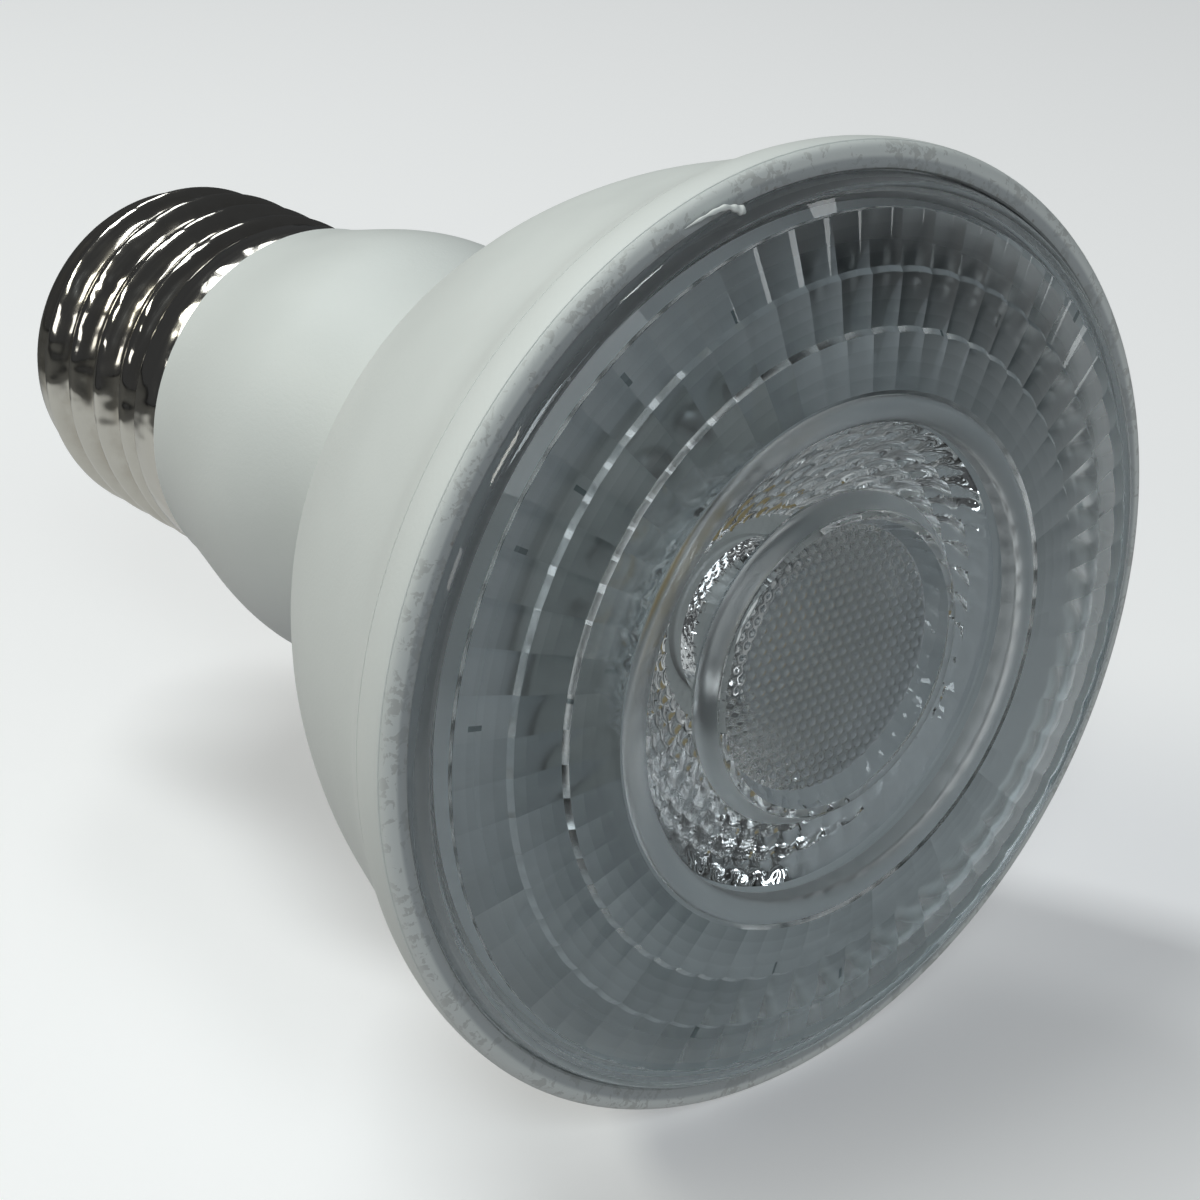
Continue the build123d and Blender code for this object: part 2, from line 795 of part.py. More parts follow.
# Lens: one clear moulding, facet rings in front and a fluted collimator behind
facet_rings = (
    (field_radius, field_h, ring_two_radius, ring_two_h),
    (ring_two_radius - facet_ledge, ring_two_h, ring_three_radius, ring_three_h),
    (ring_three_radius - facet_ledge, ring_three_h, lip_radius + facet_ledge, overall_length - lip_height),
)
with BuildPart() as lens:
    # The flange and its bead, and the body behind the facets
    with BuildSketch(section):
        with BuildLine():
            Polyline(
                (0, lens_seat_h),
                (lens_radius, lens_seat_h),
                (lens_radius, rim_h - groove_depth),
            )
            Spline(
                (lens_radius, rim_h - groove_depth),
                (bead_radius, bead_h),
                tangents=((0, 1), (-1, brim_lean)),
            )
            Polyline(
                (bead_radius, bead_h),
                (bead_radius - groove_depth, bead_h - groove_depth),
                (field_radius, field_h - groove_depth),
                (field_radius, field_h),
                (0, field_h),
                (0, lens_seat_h),
            )
        make_face()
    revolve(axis=Axis.Y)
    # Three rings of facets, each a frustum with one bulge for each facet
    for outer_radius, outer_h, inner_radius, inner_h in facet_rings:
        lobed_base = lobed_outline(outer_radius, facet_bulge, across(outer_h))
        lobed_top = lobed_outline(inner_radius, facet_bulge, across(inner_h))
        loft(sections=(lobed_base, lobed_top), ruled=True)
    # The lip, the window inside it and the centre disc
    with BuildSketch(section):
        with BuildLine():
            Polyline(
                (lip_inner_radius, field_h),
                (lip_radius, field_h),
                (lip_radius, overall_length - lip_height),
                (lip_radius - lip_height, overall_length),
                (lip_inner_radius + lip_height, overall_length),
                (lip_inner_radius, overall_length - lip_height),
                close=True,
            )
        make_face()
    revolve(axis=Axis.Y)
    with BuildSketch(section):
        with BuildLine():
            Polyline(
                (0, disc_h - disc_recess),
                (disc_radius - disc_rim - disc_recess / 2, disc_h - disc_recess),
                (disc_radius - disc_rim, disc_h),
                (disc_radius, disc_h),
                (disc_radius + boss_slope, window_h),
                (lip_inner_radius, window_h),
                (lip_inner_radius, overall_length),
                (0, overall_length),
                close=True,
            )
        make_face()
    revolve(axis=Axis.Y, mode=Mode.SUBTRACT)
    # The hollow behind the facets
    with BuildSketch(section):
        with BuildLine():
            Polyline(
                (0, lens_seat_h),
                (lens_radius - lens_seat_width, lens_seat_h),
                (lens_radius - lens_seat_width, field_h - lens_wall),
                (ring_two_radius, ring_two_h - lens_wall),
                (ring_three_radius, ring_three_h - lens_wall),
                (lip_radius, cone_top_h),
                (0, cone_top_h),
                close=True,
            )
        make_face()
    revolve(axis=Axis.Y, mode=Mode.SUBTRACT)
    # The fluted collimator and the pocket over the light source
    cone_end = lobed_outline(cone_end_radius, cone_flute, across(cone_end_h))
    cone_top = lobed_outline(cone_top_radius, cone_flute, across(cone_top_h))
    loft(sections=(cone_end, cone_top), ruled=True)
    with BuildSketch(section):
        with BuildLine():
            Polyline((0, cone_end_h), (pocket_radius, cone_end_h), (pocket_top_radius, pocket_h))
            RadiusArc(
                (pocket_top_radius, pocket_h),
                (0, pocket_h - pocket_dome),
                cap_radius(pocket_top_radius, pocket_dome),
            )
            Line((0, pocket_h - pocket_dome), (0, cone_end_h))
        make_face()
    revolve(axis=Axis.Y, mode=Mode.SUBTRACT)
lens.part.label = "lens"

# One file for each piece
pieces = (
    screw_shell,
    cap_insulator,
    centre_contact,
    housing,
    heat_sink,
    driver_sleeve,
    driver_board,
    input_capacitor,
    output_capacitor,
    transformer_core,
    transformer_bobbin,
    transformer_winding,
    film_capacitor,
    bridge_rectifier,
    controller_chip,
    output_diode,
    choke,
    fuse_resistor,
    live_wire,
    neutral_wire,
    led_wire_positive,
    led_wire_negative,
    led_board,
    led_dam,
    led_phosphor,
    board_screws,
    lens,
)
os.makedirs("parts", exist_ok=True)
for piece in pieces:
    export_step(piece.part, f"parts/{piece.part.label}.step")
    print(piece.part.label, round(piece.part.volume, 1))
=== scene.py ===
# %% [markdown]
# # A small LED reflector lamp
#
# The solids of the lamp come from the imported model, which is the fixed frame of this scene. This file
# dresses them: the turned and moulded pieces that show are made again as fine surfaces, and every piece
# gets a finish. The lamp's axis is Y, the lens faces -Y, and the contact's tip is the origin. In this
# file "h" is the distance from that tip along the axis, towards the lens.

# %% Load the frame
import json
from math import cos, pi, radians, sin

import bpy
import numpy as np
from mathutils import Matrix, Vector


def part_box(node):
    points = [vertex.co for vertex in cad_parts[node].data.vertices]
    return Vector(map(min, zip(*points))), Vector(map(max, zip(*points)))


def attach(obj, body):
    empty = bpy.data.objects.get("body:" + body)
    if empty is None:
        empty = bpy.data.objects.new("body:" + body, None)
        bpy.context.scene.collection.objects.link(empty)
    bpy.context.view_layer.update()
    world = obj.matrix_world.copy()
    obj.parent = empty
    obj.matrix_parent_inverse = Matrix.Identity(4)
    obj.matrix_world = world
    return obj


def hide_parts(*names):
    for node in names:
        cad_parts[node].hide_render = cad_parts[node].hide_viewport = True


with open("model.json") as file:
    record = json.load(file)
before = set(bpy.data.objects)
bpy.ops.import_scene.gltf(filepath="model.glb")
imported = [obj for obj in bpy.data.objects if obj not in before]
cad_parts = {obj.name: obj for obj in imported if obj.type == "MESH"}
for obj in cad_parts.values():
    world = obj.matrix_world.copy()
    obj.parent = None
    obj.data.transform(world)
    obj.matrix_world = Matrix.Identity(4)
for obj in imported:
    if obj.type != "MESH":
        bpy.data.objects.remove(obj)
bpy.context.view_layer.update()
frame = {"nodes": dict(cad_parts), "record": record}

mm = 0.001
print("nodes:", len(frame["nodes"]))

# %% [markdown]
# The sizes that the frame already knows are read from it, so that a surface made here lies where the
# solid lies. What the boxes can't tell, such as a groove's depth, is named beside the piece it belongs to.

# %% Sizes read from the frame
housing_low, housing_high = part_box("housing")
lens_low, lens_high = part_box("lens")
shell_low, shell_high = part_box("screw_shell")
rim_radius = housing_high.x
rim_h = -housing_low.y
spigot_end_h = -housing_high.y
lens_radius = lens_high.x
front_h = -lens_low.y
cone_end_h = -lens_high.y
crest_radius = shell_high.x
cap_h = -shell_low.y
shell_end_h = -shell_high.y
print("rim radius and length in mm:", round(rim_radius / mm, 2), round(front_h / mm, 2))

# %% [markdown]
# ## The camera
#
# The photograph looks at the lens from the left and from above, close enough for the perspective to show.
# Blender's camera looks along its own -Z with +Y up, so its matrix is filled from three directions: right,
# up and back. A camera that is aimed with a Track To constraint would need a target point, and here the
# direction itself is what is known.

# %% Camera
camera_place = np.array((-112.2, -197.4, 77.6)) * mm
camera_azimuth = radians(39.35)
camera_elevation = radians(24.7)
photo_focal_px = 2893.0
photo_width_px = 1200.0
sensor_width_mm = 36.0
nearest_seen = 10 * mm


def placed(right, up, back, place):
    """The matrix of an object at a place, whose own X points right, Y up and Z back."""
    matrix = np.eye(4)
    matrix[:3] = np.column_stack((right, up, back, place))
    return Matrix(matrix.tolist())


forward = np.array((
    sin(camera_azimuth) * cos(camera_elevation),
    cos(camera_azimuth) * cos(camera_elevation),
    -sin(camera_elevation),
))
right = np.array((cos(camera_azimuth), -sin(camera_azimuth), 0.0))
camera_data = bpy.data.cameras.new("photo_camera")
camera_data.sensor_width = sensor_width_mm
camera_data.lens = photo_focal_px / photo_width_px * sensor_width_mm
camera_data.clip_start = nearest_seen
camera = bpy.data.objects.new("photo_camera", camera_data)
bpy.context.scene.collection.objects.link(camera)
camera.matrix_world = placed(right, np.cross(right, forward), -forward, camera_place)
bpy.context.scene.camera = camera
bpy.context.scene.view_settings.view_transform = "Standard"
print("focal length in mm:", round(camera_data.lens, 2))

# %% [markdown]
# ## Surfaces
#
# Every piece made here is a grid of points: the rows follow an outline from one end of the piece to the
# other, and the columns go round the axis. A Screw modifier or the Spin tool could turn an outline too, but
# facets, pillows and a thread change the radius as it goes round, and on a grid that is one more term in
# the sum.

# %% Helpers for grids


def round_angles(columns):
    """The angle of each column: they share a full turn evenly, from +X to +Z."""
    return np.arange(columns) * 2 * pi / columns


def all_round(rows, columns):
    """The radii and the heights of an outline's rows, each the same in all columns."""
    return np.repeat(rows[:, :1], columns, axis=1), np.repeat(rows[:, 1:], columns, axis=1)


def turned(radius, height):
    """The grid of points at these radii and heights, both of rows by columns: x is the radius times the
    cosine of the column's angle, z the radius times its sine, and y is minus h."""
    angle = round_angles(radius.shape[1])
    return np.stack((radius * np.cos(angle), -height, radius * np.sin(angle)), axis=-1)


def grid_faces(rows, columns, ring):
    """The corners of each face of a grid, as numbers of its points: neighbours in rows and columns share
    a face, the columns meet round the axis, and the rows either meet end to end (ring) or close at a point
    on the axis. The faces with three corners at the two closed ends come last."""
    index = np.arange(rows * columns).reshape(rows, columns)
    if ring:
        index = np.vstack((index, index[:1]))
    else:
        index[0], index[-1] = index[0, 0], index[-1, 0]
    beside = np.roll(index, -1, axis=1)
    quads = np.stack((index[:-1], beside[:-1], beside[1:], index[1:]), axis=-1)
    if ring:
        return quads.reshape(-1, 4).tolist()
    start, end = quads[0][:, (0, 2, 3)], quads[-1][:, (0, 1, 2)]
    return quads[1:-1].reshape(-1, 4).tolist() + start.tolist() + end.tolist()


print("faces of a ring of 3 rows and 4 columns:", len(grid_faces(3, 4, True)))

# %% Helpers for meshes


def soften(mesh, used, first):
    """Takes the crease from each edge whose two ends are grid points from the number first on."""
    ends = np.empty(2 * len(mesh.edges), int)
    mesh.edges.foreach_get("vertices", ends)
    crease = np.empty(len(mesh.edges), bool)
    mesh.attributes["sharp_edge"].data.foreach_get("value", crease)
    crease &= used[ends.reshape(-1, 2)].min(axis=1) < first
    mesh.attributes["sharp_edge"].data.foreach_set("value", crease)


def surface(name, grid, ring=False, sharp=30.0, soft_row=None):
    """A closed mesh from a grid, and the numbers of the grid points that it uses. Edges that bend by more
    than the angle sharp, in degrees, are creases, but none are from the row soft_row on."""
    rows, columns = grid.shape[:2]
    faces = grid_faces(rows, columns, ring)
    used = np.unique([corner for face in faces for corner in face])
    vertex = np.zeros(rows * columns, int)
    vertex[used] = np.arange(len(used))
    mesh = bpy.data.meshes.new(name)
    mesh.from_pydata(grid.reshape(-1, 3)[used], [], [[vertex[corner] for corner in face] for face in faces])
    mesh.shade_smooth()
    mesh.set_sharp_from_angle(angle=radians(sharp))
    if soft_row is not None:
        soften(mesh, used, soft_row * columns)
    piece = bpy.data.objects.new(name, mesh)
    bpy.context.scene.collection.objects.link(piece)
    triangles = sum(len(face) - 2 for face in faces)
    print(name, "rows", rows, "columns", columns, "triangles", triangles)
    return piece, used


def paint(piece, name, values, each="POINT"):
    """Stores a value for each vertex of a piece, or for each FACE, for its finish to read."""
    attribute = piece.data.attributes.new(name, "FLOAT", each)
    attribute.data.foreach_set("value", np.ascontiguousarray(values, np.float32))


def dress(piece, material, slot, solid=None):
    """The piece rides on the lamp's one body in that material, and stands for the solid if one is named."""
    piece.data.materials.append(material)
    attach(piece, "root")
    if solid:
        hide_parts(solid)
    print(piece.name, "wears", slot)


# %% [markdown]
# An outline is drawn in the half plane of radius and h, from a few kinds of run: straight lines between
# named corners, arcs, and smooth curves through named points. A Bezier curve object could hold it as well,
# but its handles would have to be set by eye, and here a curve is given by the points that it goes through.

# %% Helpers for outlines


def outline(*runs):
    """One outline from several runs of (radius, h) points, each an array of two columns."""
    return np.vstack([np.atleast_2d(np.asarray(run, float)) for run in runs])


def arc(centre, radius, start, end, count):
    """Points on an arc in the half plane of radius and h: the angle runs from start to end, in degrees,
    with 0 along the radius and 90 along h."""
    turn = np.radians(np.linspace(start, end, count))
    return np.column_stack((centre[0] + radius * np.cos(turn), centre[1] + radius * np.sin(turn)))


def smooth_curve(points, start_slope, end_slope, count):
    """A smooth curve through points (radius, h) in order of h: a cubic for each stretch, whose slope at a
    point, in radius for each unit of h, is that of the line between its neighbours."""
    r, h = np.asarray(points, float).T
    slope = np.empty_like(r)
    slope[1:-1] = (r[2:] - r[:-2]) / (h[2:] - h[:-2])
    slope[0], slope[-1] = start_slope, end_slope
    at = np.linspace(h[0], h[-1], count)
    i = np.clip(np.searchsorted(h, at, side="right") - 1, 0, len(h) - 2)
    span = h[i + 1] - h[i]
    t = (at - h[i]) / span
    ends = r[i] * (1 + 2 * t) * (1 - t) ** 2 + r[i + 1] * t**2 * (3 - 2 * t)
    leans = span * (slope[i] * t * (1 - t) ** 2 - slope[i + 1] * t**2 * (1 - t))
    return np.column_stack((ends + leans, at))


def along(points, start, end, count):
    """A smooth curve through points measured along its length: each coordinate is a cubic of the length,
    with the given unit directions at the two ends."""
    steps = np.linalg.norm(np.diff(points, axis=0), axis=1)
    lengths = np.concatenate(((0,), np.cumsum(steps)))
    columns = []
    for axis in (0, 1):
        pairs = np.column_stack((points[:, axis], lengths))
        columns.append(smooth_curve(pairs, start[axis], end[axis], count)[:, 0])
    return np.column_stack(columns)


def eased(share):
    """A share from 0 to 1 with a gentle start and end: its square times 3 less twice the share."""
    return share**2 * (3 - 2 * share)


print("eased quarters:", eased(np.linspace(0, 1, 5)))

# %% [markdown]
# ## Effects that several finishes share
#
# A moulded skin has a slow drift of tone and a fine grain. Dirt is a scatter of small specks. Rubbed
# places show short scuffs. Each of these is a node group that takes a place on the surface and puts out a
# mask or a height, so that every finish can use it with its own values.

# %% Helpers for nodes


def node_group(name, values, outputs):
    """An empty shader group that reads a place, as Vector, and these values, and puts out numbers."""
    tree = bpy.data.node_groups.new(name, "ShaderNodeTree")
    tree.interface.new_socket("Vector", in_out="INPUT", socket_type="NodeSocketVector")
    for label, value in values.items():
        socket = tree.interface.new_socket(label, in_out="INPUT", socket_type="NodeSocketFloat")
        socket.default_value = value
    for label in outputs:
        tree.interface.new_socket(label, in_out="OUTPUT", socket_type="NodeSocketFloat")
    return tree, tree.nodes.new("NodeGroupInput"), tree.nodes.new("NodeGroupOutput")


def node(tree, kind, settings=(), **values):
    """A new node of that kind, with its settings and with values set on its inputs by name."""
    made = tree.nodes.new(kind)
    for key, value in dict(settings).items():
        setattr(made, key, value)
    for key, value in values.items():
        made.inputs[key.replace("_", " ")].default_value = value
    return made


def calc(tree, operation, first, second):
    """A Math node; first and second are numbers or sockets."""
    made = node(tree, "ShaderNodeMath", {"operation": operation})
    for i, value in enumerate((first, second)):
        if isinstance(value, (int, float)):
            made.inputs[i].default_value = value
        else:
            tree.links.new(value, made.inputs[i])
    return made.outputs[0]


def ramp(tree, value, low, high):
    """A smooth step of a value from 0 at low to 1 at high."""
    made = node(tree, "ShaderNodeMapRange", {"interpolation_type": "SMOOTHSTEP"}, From_Min=low, From_Max=high)
    tree.links.new(value, made.inputs["Value"])
    return made.outputs["Result"]


# %% Skin group


def make_skin_group():
    """Tone is a slow drift of noise, Height is a fine noise for a bump."""
    tree, given, put = node_group("moulded_skin", {"Drift": 60.0, "Grain": 4000.0}, ("Tone", "Height"))
    drift = node(tree, "ShaderNodeTexNoise", Detail=4.0, Roughness=0.6)
    grain = node(tree, "ShaderNodeTexNoise", Detail=2.0, Roughness=0.7)
    for made, scale in ((drift, "Drift"), (grain, "Grain")):
        tree.links.new(given.outputs["Vector"], made.inputs["Vector"])
        tree.links.new(given.outputs[scale], made.inputs["Scale"])
    tree.links.new(ramp(tree, drift.outputs["Fac"], 0.3, 0.7), put.inputs["Tone"])
    tree.links.new(grain.outputs["Fac"], put.inputs["Height"])
    return tree


skin_group = make_skin_group()
print("group:", skin_group.name)

# %% Speck group


def make_speck_group():
    """Mask is 1 in small round specks: a Voronoi cell has one where its random number is under Amount, and
    a second random number says how much of Size the speck has."""
    tree, given, put = node_group("dirt_specks", {"Scale": 400.0, "Amount": 0.1, "Size": 0.25}, ("Mask",))
    cells = node(tree, "ShaderNodeTexVoronoi")
    for label in ("Vector", "Scale"):
        tree.links.new(given.outputs[label], cells.inputs[label])
    chance = node(tree, "ShaderNodeSeparateColor")
    tree.links.new(cells.outputs["Color"], chance.inputs[0])
    picked = calc(tree, "LESS_THAN", chance.outputs[0], given.outputs["Amount"])
    reach = calc(tree, "MULTIPLY", given.outputs["Size"], chance.outputs[1])
    inside = calc(tree, "LESS_THAN", cells.outputs["Distance"], reach)
    tree.links.new(calc(tree, "MULTIPLY", picked, inside), put.inputs["Mask"])
    return tree


speck_group = make_speck_group()
print("group:", speck_group.name)

# %% Scuff group


def make_scuff_group():
    """Mask is 1 in short ragged strokes: where a fine noise times the sum of a coarse one and a half passes
    the Level."""
    coarse_share, soft_edge = 0.22, 0.05
    tree, given, put = node_group("scuffs", {"Scale": 300.0, "Level": 0.62}, ("Mask",))
    strokes = node(tree, "ShaderNodeTexNoise", Detail=3.0, Roughness=0.65, Distortion=0.6)
    patches = node(tree, "ShaderNodeTexNoise", Detail=2.0, Roughness=0.5)
    for made in (strokes, patches):
        tree.links.new(given.outputs["Vector"], made.inputs["Vector"])
    tree.links.new(given.outputs["Scale"], strokes.inputs["Scale"])
    tree.links.new(calc(tree, "MULTIPLY", given.outputs["Scale"], coarse_share), patches.inputs["Scale"])
    both = calc(tree, "MULTIPLY", strokes.outputs["Fac"], calc(tree, "ADD", patches.outputs["Fac"], 0.5))
    over = calc(tree, "SUBTRACT", both, given.outputs["Level"])
    tree.links.new(ramp(tree, over, 0.0, soft_edge), put.inputs["Mask"])
    return tree


scuff_group = make_scuff_group()
print("group:", scuff_group.name)

# %% [markdown]
# A finish starts from a Principled shader whose constants are set on its own sockets. The pattern of each
# finish reads the piece's Object coordinates, in metres, so a scale of 1000 is one cell to a millimetre.
# What a pattern can't know, such as how near the rim is, is stored on the mesh as an attribute.

# %% Helpers to start a finish


def finish(name, **constants):
    """A material with its tree and its Principled shader, which has these constants."""
    material = bpy.data.materials.new(name)
    material.use_nodes = True
    tree = material.node_tree
    shader = tree.nodes["Principled BSDF"]
    for key, value in constants.items():
        shader.inputs[key.replace("_", " ")].default_value = value
    return material, tree, shader


def object_place(tree):
    """The place on the piece in its Object coordinates."""
    return node(tree, "ShaderNodeTexCoord").outputs["Object"]


def own(tree, name):
    """The piece's own attribute of that name, as a value."""
    return node(tree, "ShaderNodeAttribute", {"attribute_name": name}).outputs["Fac"]


def rays(tree):
    """The outputs that say which kind of ray meets the surface."""
    return node(tree, "ShaderNodeLightPath").outputs


def use(tree, group, place, **values):
    """The group placed in a material, reading that place, with its own values."""
    made = node(tree, "ShaderNodeGroup", {"node_tree": group})
    tree.links.new(place, made.inputs["Vector"])
    for key, value in values.items():
        made.inputs[key].default_value = value
    return made.outputs


# %% Helpers for colours and values
black = (0.0, 0.0, 0.0)


def mix(tree, mask, first, second, share=1.0):
    """A colour between two, each a colour or a socket, by a mask times a share."""
    made = node(tree, "ShaderNodeMix", {"data_type": "RGBA"})
    amount = mask if share == 1.0 else calc(tree, "MULTIPLY", mask, share)
    tree.links.new(amount, made.inputs["Factor"])
    for label, value in (("A", first), ("B", second)):
        socket = next(s for s in made.inputs if s.name == label and s.type == "RGBA")
        if isinstance(value, tuple):
            socket.default_value = (*value, 1.0)
        else:
            tree.links.new(value, socket)
    return next(s for s in made.outputs if s.type == "RGBA")


def between(tree, mask, low, high):
    """A number that goes from low to high with a mask."""
    made = node(tree, "ShaderNodeMapRange", To_Min=low, To_Max=high)
    tree.links.new(mask, made.inputs["Value"])
    return made.outputs["Result"]


def complete(tree, shader, colour, roughness, height, depth, strength=0.5):
    """Links a finish's colour, its roughness and its relief: a Bump node of the height times the depth."""
    tree.links.new(colour, shader.inputs["Base Color"])
    tree.links.new(roughness, shader.inputs["Roughness"])
    relief = node(tree, "ShaderNodeBump", Strength=strength, Distance=depth)
    tree.links.new(height, relief.inputs["Height"])
    tree.links.new(relief.outputs["Normal"], shader.inputs["Normal"])


def swap(tree, mask, first, second):
    """Makes the material's surface the first shader, and the second one where the mask is 1."""
    both = node(tree, "ShaderNodeMixShader")
    for value, socket in zip((mask, first, second), both.inputs):
        tree.links.new(value, socket)
    tree.links.new(both.outputs["Shader"], tree.nodes["Material Output"].inputs["Surface"])


# %% [markdown]
# ## The white moulding
#
# The housing is one matt white moulding: a spigot in the cap, a bulged collar, a waist, a bell and a rim.
# Its outline is drawn once, from the spigot to the rim's front and back along the inside, and turned. Box
# modelling with a subdivision modifier would give soft forms too, but not a fine line at a known place.

# %% Collar and waist
spigot_radius, spigot_top_h = 11.6 * mm, 21.5 * mm
skirt_seat_radius, skirt_seat_h = 12.6 * mm, 22.7 * mm
collar_end_radius = crest_radius + 0.55 * mm
collar_radius, collar_h, collar_lean = 15.95 * mm, 38.2 * mm, 0.15
waist_radius, waist_h, waist_round = 13.6 * mm, 48.2 * mm, 4.0 * mm
waist_collar_angle, waist_bell_angle = 18.0, 56.0
collar_rows, waist_rows = 60, 24

spigot_run = outline(
    (spigot_radius, spigot_end_h), (spigot_radius, spigot_top_h),
    (skirt_seat_radius, skirt_seat_h), (skirt_seat_radius, cap_h),
)
waist_centre = (waist_radius + waist_round, waist_h)
waist_arc = arc(waist_centre, waist_round, 180 + waist_collar_angle, 180 - waist_bell_angle, waist_rows)
collar_run = smooth_curve(
    ((collar_end_radius, cap_h), (collar_radius, collar_h), tuple(waist_arc[0])),
    collar_lean, -np.tan(radians(waist_collar_angle)), collar_rows,
)
print("collar and waist rows:", len(collar_run) + len(waist_arc))

# %% [markdown]
# The bell leaves the waist almost square to the axis, where a curve of h would be too steep, so its curve
# is measured along its own length. A shallow parting line runs round it just behind the rim.

# %% Bell
shoulder = (20.7 * mm, 55.2 * mm)
bell = (24.4 * mm, 60.2 * mm)
flank = (26.9 * mm, 65.2 * mm)
flare = (28.55 * mm, 70.2 * mm)
brim = (29.8 * mm, 74.2 * mm)
brim_lean = 0.4
parting = (rim_radius - 0.6 * mm, rim_h - 3.45 * mm)
parting_depth = 0.1 * mm
bell_rows = 90

bell_points = np.array((tuple(waist_arc[-1]), shoulder, bell, flank, flare, brim, parting))
bell_start = (sin(radians(waist_bell_angle)), cos(radians(waist_bell_angle)))
bell_end = np.array((brim_lean, 1.0)) / np.hypot(brim_lean, 1.0)
bell_run = along(bell_points, bell_start, bell_end, bell_rows)
parting_groove = (parting[0] - parting_depth, parting[1] + parting_depth)
print("bell rows:", len(bell_run))

# %% [markdown]
# The rim is rounded, with a fine line round its edge, and inside it steps down to the seat of the lens. From
# there the inside follows the outside at the wall's thickness. A Solidify modifier would give the wall too,
# but not the seats for the lens and the heat sink.

# %% Rim
rim_round = 0.8 * mm
rim_width = 1.75 * mm
rim_rows, edge_rows, round_rows = 14, 3, 8
edge_line_angle, edge_line_spread, edge_line_depth = 20, 4, 0.06 * mm
seat_edge = 0.12 * mm
lens_seat_h = rim_h - 2.85 * mm
mouth_radius = rim_radius - rim_width

after_parting = (parting[0] + parting_depth, parting[1] + 2 * parting_depth)
rim_run = smooth_curve((after_parting, (rim_radius, rim_h - rim_round)), brim_lean, 0.0, rim_rows)
rim_centre = (rim_radius - rim_round, rim_h - rim_round)
rim_arc = outline(
    arc(rim_centre, rim_round, 0, edge_line_angle - edge_line_spread, edge_rows),
    arc(rim_centre, rim_round - edge_line_depth, edge_line_angle, edge_line_angle, 1),
    arc(rim_centre, rim_round, edge_line_angle + edge_line_spread, 90, round_rows),
)
mouth_run = outline(
    (mouth_radius + seat_edge, rim_h), (mouth_radius, rim_h - seat_edge), (mouth_radius, lens_seat_h),
)
print("rim rows:", len(rim_run) + len(rim_arc))

# %% Inside of the housing
housing_wall = 2.0 * mm
lens_seat_radius = 27.9 * mm
sink_seat_radius, sink_seat_top_h, sink_seat_h = 24.4 * mm, 66.5 * mm, 64.0 * mm
sink_seat_inner_radius = 22.4 * mm
inner_shoulder = (18.0 * mm, 55.0 * mm)
inner_waist_radius, inner_waist_front_h, inner_waist_back_h = 12.0 * mm, 50.2 * mm, 44.5 * mm
spigot_bore_radius, spigot_bore_h = 10.3 * mm, 29.5 * mm
housing_columns = 288

inside_run = outline(
    (lens_seat_radius, lens_seat_h), (flare[0] - housing_wall, flare[1]),
    (sink_seat_radius, sink_seat_top_h), (sink_seat_radius, sink_seat_h),
    (sink_seat_inner_radius, sink_seat_h), (bell[0] - housing_wall, bell[1]), inner_shoulder,
    (inner_waist_radius, inner_waist_front_h), (inner_waist_radius, inner_waist_back_h),
    (collar_radius - housing_wall, collar_h),
    (spigot_bore_radius, spigot_bore_h), (spigot_bore_radius, spigot_end_h),
)
housing_outline = outline(
    spigot_run, collar_run, waist_arc[1:], bell_run[1:], parting_groove, rim_run, rim_arc[1:],
    mouth_run, inside_run,
)
print("housing rows:", len(housing_outline))

# %% [markdown]
# Handling has left grey scuffs along the rim, and specks of dirt in the gap between rim and lens. The
# finish also paints shade over the rim's front face and over the scuffs at the rim, and it is darker
# towards the gap. Where they lie could be painted by hand in an image. Here the mesh carries three values
# that the finish reads: how near a point is to the rim's front, how near to the gap, and whether it is
# inside.

# %% Housing surface
# How far the rim's nearness reaches, which places the scuffs and the painted shade over them
wear_and_shade_reach = 5 * mm

housing_r, housing_h = all_round(housing_outline, housing_columns)
housing, housing_used = surface("white_housing", turned(housing_r, housing_h), ring=True)
rim_nearness = np.clip(1 - (rim_h - housing_h) / wear_and_shade_reach, 0, 1)
paint(housing, "rim_nearness", rim_nearness.ravel()[housing_used])
on_front = housing_h > rim_h - 0.5 * rim_round
gap_nearness = on_front * np.clip((rim_radius - rim_round - housing_r) / (rim_width - rim_round), 0, 1)
paint(housing, "gap_nearness", gap_nearness.ravel()[housing_used])
inside = np.arange(len(housing_outline)) >= len(housing_outline) - len(inside_run)
paint(housing, "inside", np.repeat(inside, housing_columns)[housing_used])

# %% [markdown]
# A matt moulding is a plastic with a roughness near one half, and its colours are laid over each other by
# masks, the widest first. The inside is seen through the lens. Light that has bounced once ends there, with
# a black colour for bounced rays, because the many turns of light inside would take most of the time.

# %% White finish


